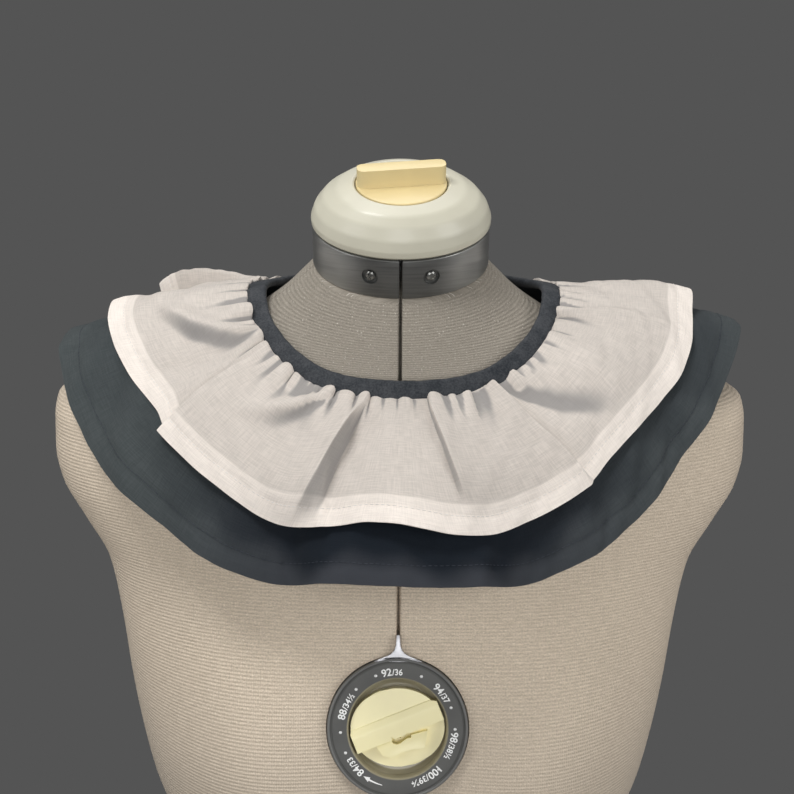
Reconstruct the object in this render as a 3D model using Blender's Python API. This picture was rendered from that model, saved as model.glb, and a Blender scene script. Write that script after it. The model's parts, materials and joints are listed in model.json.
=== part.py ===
# A ruff collar of two gathered tiers, worn by a limbless adjustable dress form on a low stand.
# Metres, +Z up. The front faces -Y. The origin is on the floor, under the middle of the base.

from math import cos, pi, radians, sin, tan

import bmesh
import bpy
import numpy as np
from mathutils import Matrix, Vector

# ---- driving sizes -------------------------------------------------------------------------------

NECKLINE_LEVEL = 0.668         # centre front of the neckline, above the floor
GAP = 0.0003                   # between pieces that touch
SLOT = 0.003                   # between the panels of the form, at their edges
SLOT_DEPTH = 0.012             # behind it the panels all but meet

# The neckline is the outer edge of the binding, seen from above: two half ellipses.
NECK_HALF_WIDTH = 0.090
NECK_FRONT = 0.073
NECK_BACK = 0.070
NECK_SHIFT = 0.002             # the collar sits a little to the side

BINDING_WIDTH = 0.011
BINDING_THICKNESS = 0.0036
BINDING_LAP = 9.0              # degrees by which its ends lap at centre back
BINDING_STEP_OUT = 18.0        # degrees before centre back where the outer end starts to step out
BINDING_STEP_UP = 0.4          # part of that step taken upwards, clear of the tiers
BINDING_STATIONS = 72
BINDING_SIDES = 8
BINDING_ROUNDING = 0.6         # power of its section's superellipse

CLOTH_WALL = 0.0012
TIER_SPREAD = 0.0021           # between the two tiers where they leave the binding
SEAM_GAP = 0.0008              # from the binding's edge to a tier's gathered edge
BACK_OPENING = 0.5             # degrees from centre back to the end of a tier
GATHERS = 42
GATHER_FADE = 0.13             # share of the depth over which a gather dies away
MEASURED_DIRECTIONS = 1441     # points along a tier where the length of its cloth is measured
MEASURED_SHARE = 0.66          # share of the depth of that measured line

WHITE = {"depth": 0.082, "columns": 152, "gather": 0.0011, "side": 1,
         "rows": (0, 0.05, 0.13, 0.26, 0.42, 0.60, 0.80, 1.0)}
NAVY = {"depth": 0.112, "columns": 108, "gather": -0.0005, "side": -1,
        "rows": (0, 0.06, 0.18, 0.36, 0.56, 0.78, 1.0)}

# How the collar lies in each direction around the neck, the same on both sides.
# Direction: degrees from centre front. Rise: of the neckline over its centre front, in metres.
# The other columns are slopes below level, in degrees, at the top and at the hem of each piece.
LIE_COLUMNS = ("direction", "rise", "binding", "white_top", "white_hem", "navy_top", "navy_hem")
LIE = (
    (0,   0.0000, 66, 22, 54, 38, 56),
    (15,  0.0010, 62, 28, 62, 40, 62),
    (30,  0.0044, 56, 36, 67, 44, 73),
    (45,  0.0128, 46, 24, 65, 34, 73),
    (60,  0.0236, 34,  8, 60, 20, 66),
    (72,  0.0328, 24,  2, 50, 14, 55),
    (82,  0.0410, 14, -2, 38,  7, 39),
    (90,  0.0455, 10, -4, 27,  4, 27),
    (100, 0.0468, 10, -2, 16,  5, 18),
    (120, 0.0446, 18, 12, 34, 20, 40),
    (150, 0.0420, 35, 30, 56, 38, 60),
    (180, 0.0415, 45, 36, 60, 44, 64),
)

# How far each tier reaches down in each direction, as a share of its depth.
REACH_COLUMNS = ("direction", "white", "navy")
REACH = (
    (-180, 1.00, 1.00), (-92, 1.04, 1.02), (-75, 0.97, 1.04), (-65, 0.93, 1.05), (-59, 0.98, 1.05),
    (-45, 1.00, 1.04), (-30, 1.02, 1.01), (-17, 1.00, 0.98), (-9, 0.98, 0.98), (0, 1.02, 0.99),
    (11, 1.06, 0.99), (19, 1.05, 0.99), (31, 0.99, 1.00), (45, 0.98, 1.00), (53, 0.93, 1.00),
    (61, 0.92, 0.97), (69, 0.94, 0.93), (78, 0.98, 0.94), (92, 0.98, 0.97), (100, 1.02, 1.00),
    (180, 1.00, 1.00),
)

# Ridges in the tiers. Top and hem: degrees from centre front, where the crest starts and ends.
# Width: half width at the hem. Height: at the hem. Lean: sideways overhang for each unit of height.
# Start: share of the depth where the ridge begins to rise.
RIDGE_COLUMNS = ("top", "hem", "width", "height", "lean", "start")
RIDGE_TOP_WIDTH = 0.35         # width of a ridge at the binding, as a share of its width at the hem
RIDGE_ONSET = 0.12             # share of the depth by which a ridge's rise comes before its start
DEPTH_TO_RADIUS = 0.8          # growth of the radius around the neck for each unit of depth
WHITE_RIDGES = (
    (-172, -170, 0.015,  0.009,  0.6, 0.00),
    (-155, -153, 0.013,  0.010, -0.9, 0.00),
    (-133, -137, 0.016,  0.009,  0.7, 0.05),
    (-112, -121, 0.014,  0.020,  0.7, 0.00),
    (-99,  -104, 0.013, -0.006,  0.0, 0.00),
    (-58,   -56, 0.014,  0.007, -1.1, 0.05),
    (-13,   -29, 0.014,  0.012,  0.9, 0.00),
    (9,      20, 0.012,  0.006, -1.3, 0.00),
    (31,     42, 0.013,  0.007,  1.0, 0.00),
    (74,     82, 0.016,  0.004,  0.4, 0.05),
    (118,   121, 0.014,  0.009,  0.6, 0.00),
    (136,   138, 0.015,  0.011, -0.8, 0.00),
    (158,   156, 0.015,  0.009, -0.7, 0.00),
)
NAVY_RIDGES = (
    (-165, -163, 0.020, 0.007,  0.3, 0.30),
    (-135, -138, 0.018, 0.008, -0.4, 0.55),
    (-105, -107, 0.018, -0.005, 0.0, 0.30),
    (-62,   -66, 0.036, 0.006,  0.0, 0.55),
    (-38,   -41, 0.018, 0.005, -0.4, 0.45),
    (-12,   -15, 0.018, 0.005,  0.3, 0.50),
    (14,     17, 0.015, 0.004,  0.3, 0.50),
    (40,     44, 0.016, 0.005,  0.4, 0.45),
    (68,     74, 0.013, 0.004, -0.5, 0.70),
    (92,     94, 0.018, 0.004,  0.0, 0.50),
    (114,   112, 0.017, 0.005, -0.3, 0.40),
    (140,   143, 0.020, 0.008,  0.4, 0.55),
    (168,   166, 0.016, 0.006, -0.3, 0.30),
)

# The neck's band, cap and knob share one frame, turned forward about X. Its origin is the middle of
# the cap's rim, and its level and depth are given from the neckline's centre front and the middle.
NECK_TILT = radians(20.5)
CAP_LEVEL = 0.087
CAP_DEPTH = -0.003
CAP_HALF_WIDTH = 0.0503
CAP_RATIO = 0.874              # depth over width of the band and of the cap's rim
BAND_HEIGHT = 0.0240
NECK_TOP = CAP_LEVEL - CAP_DEPTH * tan(NECK_TILT) - (BAND_HEIGHT + GAP) / cos(NECK_TILT)

# Level sections of the form. Level: of the section's middle over the neckline's centre front.
# Fullness: the power of the superellipse. Tilt: how far the section rises for each unit of depth.
SECTION_COLUMNS = ("level", "half_width", "front", "back", "fullness", "tilt")
SECTIONS = (
    (-0.568, 0.1630, 0.1080, 0.1120, 2.40, 0.000),
    (-0.480, 0.1680, 0.1120, 0.1220, 2.40, 0.000),
    (-0.400, 0.1450, 0.1040, 0.1080, 2.30, 0.000),
    (-0.333, 0.1235, 0.0980, 0.0880, 2.20, 0.000),
    (-0.277, 0.1320, 0.1080, 0.0920, 2.30, 0.000),
    (-0.230, 0.1475, 0.1160, 0.0980, 2.35, 0.000),
    (-0.180, 0.1580, 0.1075, 0.1050, 2.40, 0.000),
    (-0.142, 0.1630, 0.1005, 0.1100, 2.50, 0.000),
    (-0.105, 0.1705, 0.0940, 0.1110, 2.50, 0.000),
    (-0.080, 0.1850, 0.0905, 0.1090, 2.45, 0.000),
    (-0.060, 0.1965, 0.0865, 0.1060, 2.40, 0.000),
    (-0.043, 0.2000, 0.0825, 0.1020, 2.35, 0.000),
    (-0.025, 0.2000, 0.0785, 0.0970, 2.25, 0.000),
    (-0.013, 0.1980, 0.0740, 0.0930, 2.05, 0.020),
    (-0.005, 0.1875, 0.0705, 0.0880, 1.90, 0.040),
    (0.004,  0.1660, 0.0670, 0.0780, 1.76, 0.080),
    (0.014,  0.1390, 0.0630, 0.0700, 1.65, 0.120),
    (0.024,  0.1110, 0.0585, 0.0620, 1.64, 0.170),
    (0.034,  0.0880, 0.0540, 0.0560, 1.70, 0.220),
    (0.045,  0.0695, 0.0490, 0.0510, 1.82, 0.280),
    (0.054,  0.0585, 0.0445, 0.0475, 1.95, 0.325),
    (NECK_TOP, 0.0492, 0.0400, 0.0432, 2.00, tan(NECK_TILT)),
)
QUARTER_SEGMENTS = 11
SECTION_SPACING = 0.028        # between the sections read from the table, about

BUST = {"apart": 0.084, "level": -0.205, "height": 0.016, "across": 0.050, "along": 0.060}

BAND_SEGMENTS = 24
BAND_SPLIT = 0.0016
SCREW = {"across": 0.0172, "below": 0.0110, "radius": 0.0033, "height": 0.0012, "segments": 12,
         "off": 0.0005}
CAP_SEGMENTS = 40
CAP_ROUND_MARGIN = 0.002       # beyond the knob, where the cap's rings are still circles
# Turned profile of the cap, from its underside to the knob's recess: radius and height.
CAP_PROFILE = (
    (0.0488, 0.0003), (0.0508, 0.0022), (0.0508, 0.0050), (0.0489, 0.0115), (0.0441, 0.0178),
    (0.0365, 0.0226), (0.0272, 0.0256), (0.0264, 0.0252), (0.0262, 0.0212),
)
NECK_KNOB = {"radius": 0.0256, "bottom": 0.0215, "top": 0.0256, "length": 0.0500, "width": 0.0110,
             "height": 0.0105, "turn": radians(9)}
KNOB_BEVEL = 0.0008
GRIP_CORNER = 0.18             # share of a bar's width cut from its corners

# The bust dial's frame: Z out of the chest, tilted up; X to the side; Y up along the chest.
DIAL_LEVEL = -0.1735
DIAL_DEPTH = -0.1112
DIAL_TILT = radians(15)
DIAL_RADIUS = 0.0384
DIAL_SEGMENTS = 40
DIAL_POCKET = {"clearance": 0.0006, "bottom": -0.0145, "top": 0.0400, "segments": 32}
DIAL_PROFILE = (
    (0.0384, -0.0140), (0.0384, 0.0012), (0.0374, 0.0026), (0.0358, 0.0020), (0.0290, 0.0020),
    (0.0276, 0.0008), (0.0262, -0.0085),
)
DIAL_KNOB = {"radius": 0.0256, "bottom": -0.0082, "top": -0.0030, "length": 0.0505, "width": 0.0150,
             "height": 0.0085, "turn": radians(22)}
TRIM_ABOVE = 0.0394            # from the dial's middle to the trim's lower edge
TRIM_BOTTOM = 0.0006
TRIM_TOP = 0.0022
TRIM_OUTLINE = ((0.0075, 0.0000), (0.0045, 0.0012), (0.0022, 0.0042), (0.0014, 0.0118))

POLE_RADIUS = 0.016
POLE_SEGMENTS = 32
BASE_PROFILE = ((0.1700, 0.0000), (0.1700, 0.0075), (0.1660, 0.0100), (0.0300, 0.0145),
                (0.0240, 0.0215))
BASE_SEGMENTS = 40
SOCKET_DEPTH = 0.0150

# The button's profile is in shares of its radius and height.
BUTTON = {"radius": 0.0055, "height": 0.0022, "segments": 16, "off_centre": 4.0}
BUTTON_PROFILE = ((0.85, 0.0), (1.0, 0.4), (0.9, 1.0), (0.6, 0.8))


# ---- tables and curves ---------------------------------------------------------------------------

def column(names, rows, name):
    return np.array([row[names.index(name)] for row in rows], dtype=float)


def read(names, rows, name, at, level_ends=False):
    """Value of a table's column at a key of its first column, on a smooth curve without overshoot."""
    keys = column(names, rows, names[0])
    values = column(names, rows, name)
    spans = np.diff(keys)
    steps = np.diff(values) / spans
    inner = np.where(steps[:-1] * steps[1:] > 0,
                     2 * steps[:-1] * steps[1:] / (steps[:-1] + steps[1:] + 1e-12), 0)
    ends = (0, 0) if level_ends else (steps[0], steps[-1])
    slopes = np.concatenate(([ends[0]], inner, [ends[1]]))
    at = np.clip(at, keys[0], keys[-1])
    i = np.clip(np.searchsorted(keys, at) - 1, 0, len(spans) - 1)
    u = (at - keys[i]) / spans[i]
    return (values[i] * (1 + 2 * u) * (1 - u) ** 2 + slopes[i] * spans[i] * u * (1 - u) ** 2
            + values[i + 1] * u ** 2 * (3 - 2 * u) + slopes[i + 1] * spans[i] * u ** 2 * (u - 1))


def lie(name, direction):
    return read(LIE_COLUMNS, LIE, name, np.abs(direction), level_ends=True)


def ease(value):
    value = np.clip(value, 0, 1)
    return value * value * (3 - 2 * value)


def stack(x, y, z):
    return np.stack(np.broadcast_arrays(x, y, z), axis=-1)


# ---- meshes and objects --------------------------------------------------------------------------

def finish_material(name, colour, roughness, metallic=0.0):
    material = bpy.data.materials.new(name)
    material.use_nodes = True
    shader = material.node_tree.nodes["Principled BSDF"]
    shader.inputs["Base Color"].default_value = (*colour, 1)
    shader.inputs["Roughness"].default_value = roughness
    shader.inputs["Metallic"].default_value = metallic
    return material


def add_object(name, vertices, faces, material, frame=None, sharp=40):
    mesh = bpy.data.meshes.new(name)
    mesh.from_pydata([tuple(map(float, vertex)) for vertex in vertices], [], faces)
    form = bmesh.new()
    form.from_mesh(mesh)
    bmesh.ops.recalc_face_normals(form, faces=form.faces)
    form.to_mesh(mesh)
    form.free()
    mesh.shade_smooth()
    mesh.set_sharp_from_angle(angle=radians(sharp))
    mesh.materials.append(material)
    piece = bpy.data.objects.new(name, mesh)
    if frame is not None:
        piece.matrix_world = frame
    bpy.context.collection.objects.link(piece)
    return piece


def ring_faces(rings, points, capped=True):
    """Faces between closed rings of equally many points, with a flat cap on the first and last."""
    faces = []
    for i in range(rings - 1):
        for j in range(points):
            k = (j + 1) % points
            faces.append((i * points + j, i * points + k, (i + 1) * points + k, (i + 1) * points + j))
    if capped:
        faces.append(tuple(range(points)))
        faces.append(tuple((rings - 1) * points + j for j in range(points)))
    return faces


def turned(profile, segments, ratio=None):
    """Points and faces of a profile turned about Z; ratio(radius) squeezes the depth of a ring."""
    vertices = []
    for radius, height in profile:
        squeeze = ratio(radius) if ratio else 1
        for j in range(segments):
            turn = 2 * pi * j / segments
            vertices.append((radius * cos(turn), radius * sin(turn) * squeeze, height))
    return vertices, ring_faces(len(profile), segments)


def prism(outline, bottom, top):
    vertices = [(x, y, z) for z in (bottom, top) for x, y in outline]
    return vertices, ring_faces(2, len(outline))


def combine(piece, tool, operation):
    tool.hide_render = True
    tool.display_type = "WIRE"
    modifier = piece.modifiers.new(operation.title(), "BOOLEAN")
    modifier.operation = operation
    modifier.solver = "EXACT"
    modifier.object = tool


# ---- collar --------------------------------------------------------------------------------------

def neckline(direction):
    """Point of the neckline, the level way out from it and the level way along it."""
    turn = np.radians(direction)
    depth = np.where(np.cos(turn) > 0, NECK_FRONT, NECK_BACK)
    point = stack(NECK_SHIFT + NECK_HALF_WIDTH * np.sin(turn), -depth * np.cos(turn),
                  NECKLINE_LEVEL + lie("rise", direction))
    out = stack(np.sin(turn) / NECK_HALF_WIDTH, -np.cos(turn) / depth, 0 * turn)
    out = out / np.linalg.norm(out, axis=-1, keepdims=True)
    along = stack(-out[..., 1], out[..., 0], 0 * turn)
    return point, out, along


def slope_pair(out, slope):
    """Ways down a slope and square to it, outward and up."""
    up = np.array([0.0, 0.0, 1.0])
    slope = np.asarray(slope)[..., None]
    return np.cos(slope) * out - np.sin(slope) * up, np.sin(slope) * out + np.cos(slope) * up


def ridge_lift(ridges, direction, share, radius):
    """Height of the ridges at a point of a tier, and how far they lean sideways there."""
    lift = 0 * direction
    shift = 0 * direction
    for row in ridges:
        ridge = dict(zip(RIDGE_COLUMNS, row))
        crest = ridge["top"] + (ridge["hem"] - ridge["top"]) * share
        spread = ridge["width"] * (RIDGE_TOP_WIDTH + (1 - RIDGE_TOP_WIDTH) * share)
        bump = np.exp(-(np.radians(direction - crest) * radius / spread) ** 2)
        begun = share - ridge["start"] + RIDGE_ONSET
        grown = ridge["height"] * ease(begun / (1 - ridge["start"] + RIDGE_ONSET)) * bump
        lift = lift + grown
        shift = shift + ridge["lean"] * grown
    return lift, shift


def tier_points(tier, ridges, name, direction, share):
    """Points of a tier's middle surface; share runs from 0 at the binding to 1 at the hem."""
    edge, out, along = neckline(direction)
    down, off = slope_pair(out, np.radians(lie("binding", direction)))
    start = edge + down * SEAM_GAP + off * tier["side"] * TIER_SPREAD / 2
    top = np.radians(lie(name + "_top", direction))
    bend = np.radians(lie(name + "_hem", direction)) - top
    bend = np.where(np.abs(bend) < 1e-4, 1e-4, bend)
    slope = top + bend * share
    depth = tier["depth"] * read(REACH_COLUMNS, REACH, name, direction, level_ends=True)
    run = depth / bend * (np.sin(slope) - np.sin(top))
    drop = depth / bend * (np.cos(top) - np.cos(slope))
    middle = start + out * run[..., None]
    middle[..., 2] -= drop
    radius = NECK_HALF_WIDTH + DEPTH_TO_RADIUS * share * tier["depth"]
    lift, shift = ridge_lift(ridges, direction, share, radius)
    gather = np.cos(np.radians(direction) * GATHERS) * np.exp(-share / GATHER_FADE)
    lift = lift + tier["gather"] * (1 + gather) * np.exp(-share / GATHER_FADE)
    _, off = slope_pair(out, slope)
    return middle + off * lift[..., None] + along * shift[..., None]


def even_directions(tier, ridges, name):
    """Directions of a tier's columns, spaced evenly along the cloth below its middle."""
    fine = np.linspace(-180 + BACK_OPENING, 180 - BACK_OPENING, MEASURED_DIRECTIONS)
    points = tier_points(tier, ridges, name, fine, np.full(fine.shape, MEASURED_SHARE))
    steps = np.linalg.norm(np.diff(points, axis=0), axis=1)
    length = np.concatenate(([0], np.cumsum(steps)))
    return np.interp(np.linspace(0, length[-1], tier["columns"] + 1), length, fine)


def make_tier(name, tier, ridges, material):
    directions = even_directions(tier, ridges, name)
    rows = [tier_points(tier, ridges, name, directions, np.full(directions.shape, float(share)))
            for share in tier["rows"]]
    vertices = np.concatenate(rows)
    count = len(directions)
    faces = [(i * count + j, (i + 1) * count + j, (i + 1) * count + j + 1, i * count + j + 1)
             for i in range(len(rows) - 1) for j in range(count - 1)]
    piece = add_object(name + "_ruffle", vertices, faces, material, sharp=60)
    wall = piece.modifiers.new("Wall", "SOLIDIFY")
    wall.thickness = CLOTH_WALL
    wall.offset = 0
    return piece


def make_binding(material):
    """A flat folded strip around the neck; one end passes outside the other at centre back."""
    directions = np.linspace(-180, 180 + BINDING_LAP, BINDING_STATIONS)
    turns = 2 * np.pi * (np.arange(BINDING_SIDES) + 0.5) / BINDING_SIDES
    vertices = []
    for direction in directions:
        wrapped = (direction + 180) % 360 - 180
        edge, out, _ = neckline(wrapped)
        down, off = slope_pair(out, np.radians(lie("binding", wrapped)))
        stepped = float(ease((direction - 180) / BINDING_STEP_OUT + 1))
        over = stepped * (BINDING_THICKNESS + 2 * GAP)
        middle = edge - down * (BINDING_WIDTH / 2 + BINDING_STEP_UP * over) + off * over
        for turn in turns:
            round_way = np.array([cos(turn), sin(turn)])
            square = np.sign(round_way) * np.abs(round_way) ** BINDING_ROUNDING
            vertices.append(middle + down * square[0] * BINDING_WIDTH / 2
                            + off * square[1] * BINDING_THICKNESS / 2)
    return add_object("neck_binding", vertices, ring_faces(len(directions), BINDING_SIDES), material)


def make_button(material):
    direction = 180 + BUTTON["off_centre"] - 360
    edge, out, _ = neckline(direction)
    down, off = slope_pair(out, np.radians(lie("binding", direction)))
    place = edge - down * BINDING_WIDTH / 2 + off * (1.5 * BINDING_THICKNESS + 4 * GAP)
    turn = Vector(off).to_track_quat("Z", "Y").to_matrix().to_4x4()
    profile = [(BUTTON["radius"] * r, BUTTON["height"] * h) for r, h in BUTTON_PROFILE]
    vertices, faces = turned(profile, BUTTON["segments"])
    return add_object("back_button", vertices, faces, material,
                      Matrix.Translation(Vector(place)) @ turn)


# ---- dress form ----------------------------------------------------------------------------------

def section_levels():
    keys = column(SECTION_COLUMNS, SECTIONS, "level")
    levels = [keys[0]]
    for low, high in zip(keys[:-1], keys[1:]):
        steps = max(1, round((high - low) / SECTION_SPACING))
        levels += [low + (high - low) * (i + 1) / steps for i in range(steps)]
    return levels


def bust_height(x, level):
    return BUST["height"] * np.exp(-((abs(x) - BUST["apart"]) / BUST["across"]) ** 2
                                   - ((level - BUST["level"]) / BUST["along"]) ** 2)


def quarter_ring(level, side, front):
    """Points of one quarter of a section, from the centre slot to the side slot, then inside."""
    size = {name: float(read(SECTION_COLUMNS, SECTIONS, name, level)) for name in SECTION_COLUMNS[1:]}
    depth = size["front"] if front else size["back"]
    power = 2 / size["fullness"]
    outside = []
    for j in range(QUARTER_SEGMENTS + 1):
        turn = pi / 2 * j / QUARTER_SEGMENTS
        x = max(size["half_width"] * abs(sin(turn)) ** power, SLOT / 2)
        y = depth * abs(cos(turn)) ** power
        if front:
            y += float(bust_height(x, level)) * min(1, 2 * cos(turn))
        outside.append((x, max(y, SLOT / 2)))
    slot_end = max(outside[-1][0] - SLOT_DEPTH, SLOT)
    slot_floor = max(outside[0][1] - SLOT_DEPTH, SLOT)
    inside = [(slot_end, SLOT / 2), (slot_end, GAP / 2), (GAP / 2, GAP / 2), (GAP / 2, slot_floor),
              (SLOT / 2, slot_floor)]
    facing = -1 if front else 1
    return [(x * side, y * facing, NECKLINE_LEVEL + level + size["tilt"] * y * facing)
            for x, y in outside + inside]


def make_panel(name, side, front, material):
    rings = [quarter_ring(level, side, front) for level in section_levels()]
    vertices = [point for ring in rings for point in ring]
    return add_object(name, vertices, ring_faces(len(rings), len(rings[0])), material, sharp=50)


def neck_frame():
    return (Matrix.Translation((0, CAP_DEPTH, NECKLINE_LEVEL + CAP_LEVEL))
            @ Matrix.Rotation(NECK_TILT, 4, "X"))


def make_band(side, material):
    """Half of the neck's metal band, solid, with the split at centre front and centre back."""
    start = BAND_SPLIT / 2 / CAP_HALF_WIDTH
    outline = []
    for j in range(BAND_SEGMENTS + 1):
        turn = -pi / 2 + start + (pi - 2 * start) * j / BAND_SEGMENTS
        outline.append((side * CAP_HALF_WIDTH * cos(turn), CAP_HALF_WIDTH * CAP_RATIO * sin(turn)))
    vertices, faces = prism(outline, -BAND_HEIGHT, 0)
    name = "neck_band_left" if side > 0 else "neck_band_right"
    return add_object(name, vertices, faces, material, neck_frame())


def make_screw(side, material):
    x = side * SCREW["across"]
    depth = CAP_HALF_WIDTH * CAP_RATIO
    y = -depth * (1 - (x / CAP_HALF_WIDTH) ** 2) ** 0.5
    out = Vector((x / CAP_HALF_WIDTH ** 2, y / depth ** 2, 0)).normalized()
    place = Vector((x, y, -SCREW["below"])) + out * SCREW["off"]
    frame = (neck_frame() @ Matrix.Translation(place)
             @ out.to_track_quat("Z", "Y").to_matrix().to_4x4())
    radius = SCREW["radius"]
    profile = ((radius, 0), (radius, SCREW["height"] * 0.6), (radius * 0.8, SCREW["height"]))
    vertices, faces = turned(profile, SCREW["segments"])
    name = "band_screw_left" if side > 0 else "band_screw_right"
    return add_object(name, vertices, faces, material, frame)


def cap_ratio(radius):
    inner = NECK_KNOB["radius"] + CAP_ROUND_MARGIN
    return 1 - (1 - CAP_RATIO) * float(ease((radius - inner) / (CAP_HALF_WIDTH - inner)))


def make_cap(material):
    vertices, faces = turned(CAP_PROFILE, CAP_SEGMENTS, cap_ratio)
    return add_object("neck_cap", vertices, faces, material, neck_frame())


def grip_outline(length, width):
    """Outline of a knob's bar: a rectangle with cut corners."""
    x = length / 2
    y = width / 2
    cut = width * GRIP_CORNER
    return [(-x, -y + cut), (-x + cut, -y), (x - cut, -y), (x, -y + cut),
            (x, y - cut), (x - cut, y), (-x + cut, y), (-x, y - cut)]


def make_knob(name, sizes, frame, material):
    """A turning disc with a straight bar across it, joined into one body."""
    radius = sizes["radius"]
    bottom = sizes["bottom"]
    top = sizes["top"]
    frame = frame @ Matrix.Rotation(sizes["turn"], 4, "Z")
    profile = ((radius, bottom), (radius, top - KNOB_BEVEL), (radius - KNOB_BEVEL, top))
    vertices, faces = turned(profile, DIAL_SEGMENTS)
    knob = add_object(name, vertices, faces, material, frame)
    vertices, faces = prism(grip_outline(sizes["length"], sizes["width"]), (bottom + top) / 2,
                            top + sizes["height"])
    bar = add_object(name + "_bar", vertices, faces, material, frame)
    combine(knob, bar, "UNION")
    return knob


def dial_frame():
    return (Matrix.Translation((0, DIAL_DEPTH, NECKLINE_LEVEL + DIAL_LEVEL))
            @ Matrix.Rotation(pi / 2 - DIAL_TILT, 4, "X"))


def make_dial(material):
    vertices, faces = turned(DIAL_PROFILE, DIAL_SEGMENTS)
    return add_object("dial_ring", vertices, faces, material, dial_frame())


def make_pocket(material):
    radius = DIAL_RADIUS + DIAL_POCKET["clearance"]
    profile = ((radius, DIAL_POCKET["bottom"]), (radius, DIAL_POCKET["top"]))
    vertices, faces = turned(profile, DIAL_POCKET["segments"])
    return add_object("dial_pocket", vertices, faces, material, dial_frame())


def make_trim(material):
    right = [(x, TRIM_ABOVE + y) for x, y in TRIM_OUTLINE]
    left = [(-x, y) for x, y in reversed(right)]
    vertices, faces = prism(right + left, TRIM_BOTTOM, TRIM_TOP)
    return add_object("dial_trim", vertices, faces, material, dial_frame())


# ---- stand ---------------------------------------------------------------------------------------

def make_stand(material):
    bottom = SOCKET_DEPTH + GAP
    top = NECKLINE_LEVEL + SECTIONS[0][0] - GAP
    vertices, faces = turned(((POLE_RADIUS, bottom), (POLE_RADIUS, top)), POLE_SEGMENTS)
    add_object("stand_pole", vertices, faces, material)
    socket = POLE_RADIUS + GAP
    profile = BASE_PROFILE + ((socket, BASE_PROFILE[-1][1]), (socket, SOCKET_DEPTH))
    vertices, faces = turned(profile, BASE_SEGMENTS)
    add_object("stand_base", vertices, faces, material)


# ---- build ---------------------------------------------------------------------------------------

def build():
    for piece in list(bpy.data.objects):
        bpy.data.objects.remove(piece, do_unlink=True)

    satin = finish_material("black_satin", (0.035, 0.040, 0.050), 0.45)
    lawn = finish_material("white_lawn", (0.70, 0.67, 0.65), 0.85)
    cotton = finish_material("navy_cotton", (0.030, 0.038, 0.055), 0.80)
    jersey = finish_material("beige_jersey", (0.40, 0.34, 0.28), 0.90)
    steel = finish_material("dark_steel", (0.12, 0.12, 0.115), 0.35, 0.9)
    pale = finish_material("pale_plastic", (0.60, 0.58, 0.52), 0.25)
    cream = finish_material("cream_plastic", (0.72, 0.62, 0.40), 0.40)
    grey = finish_material("dark_plastic", (0.07, 0.07, 0.068), 0.45)
    silver = finish_material("silver_plastic", (0.45, 0.45, 0.46), 0.30, 0.6)
    black = finish_material("black_enamel", (0.03, 0.03, 0.03), 0.40)

    make_tier("white", WHITE, WHITE_RIDGES, lawn)
    make_tier("navy", NAVY, NAVY_RIDGES, cotton)
    make_binding(satin)
    make_button(satin)

    pocket = make_pocket(jersey)
    for side, side_name in ((1, "left"), (-1, "right")):
        panel = make_panel("form_front_" + side_name, side, True, jersey)
        combine(panel, pocket, "DIFFERENCE")
        make_panel("form_back_" + side_name, side, False, jersey)
        make_band(side, steel)
        make_screw(side, steel)
    make_cap(pale)
    make_knob("neck_knob", NECK_KNOB, neck_frame(), cream)

    make_dial(grey)
    make_knob("dial_knob", DIAL_KNOB, dial_frame(), cream)
    make_trim(silver)
    make_stand(black)


build()
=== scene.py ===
# A ruff collar of two gathered tiers on an adjustable dress form: the finish of every piece.
# Metres, +Z up, the front faces -Y, as in the frame.

import json
from math import atan2, cos, pi, radians, sin, tan

import bmesh
import bpy
import numpy as np
from mathutils import Matrix, Vector

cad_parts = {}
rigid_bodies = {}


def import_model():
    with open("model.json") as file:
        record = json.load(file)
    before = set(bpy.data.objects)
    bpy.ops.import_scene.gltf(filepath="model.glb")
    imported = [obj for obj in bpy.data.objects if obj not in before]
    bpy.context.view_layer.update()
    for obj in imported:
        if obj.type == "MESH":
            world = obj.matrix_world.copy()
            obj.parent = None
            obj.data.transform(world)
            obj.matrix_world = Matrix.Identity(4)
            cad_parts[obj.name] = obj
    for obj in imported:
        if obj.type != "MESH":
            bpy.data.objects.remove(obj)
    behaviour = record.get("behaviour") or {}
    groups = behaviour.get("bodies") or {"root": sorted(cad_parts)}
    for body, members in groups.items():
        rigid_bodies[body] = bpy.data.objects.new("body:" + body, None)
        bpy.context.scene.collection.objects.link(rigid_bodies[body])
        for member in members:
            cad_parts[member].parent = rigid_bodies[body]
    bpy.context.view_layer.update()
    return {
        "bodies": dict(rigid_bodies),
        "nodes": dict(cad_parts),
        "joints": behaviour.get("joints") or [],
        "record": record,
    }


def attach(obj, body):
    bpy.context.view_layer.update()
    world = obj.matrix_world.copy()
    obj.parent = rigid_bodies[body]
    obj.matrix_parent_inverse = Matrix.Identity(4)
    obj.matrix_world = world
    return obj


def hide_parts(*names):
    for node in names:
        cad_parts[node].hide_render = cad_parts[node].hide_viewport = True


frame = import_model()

scene = bpy.context.scene


# curves and tables: small helpers shared by the pieces

def ease(value):
    value = np.clip(value, 0, 1)
    return value * value * (3 - 2 * value)


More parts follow.
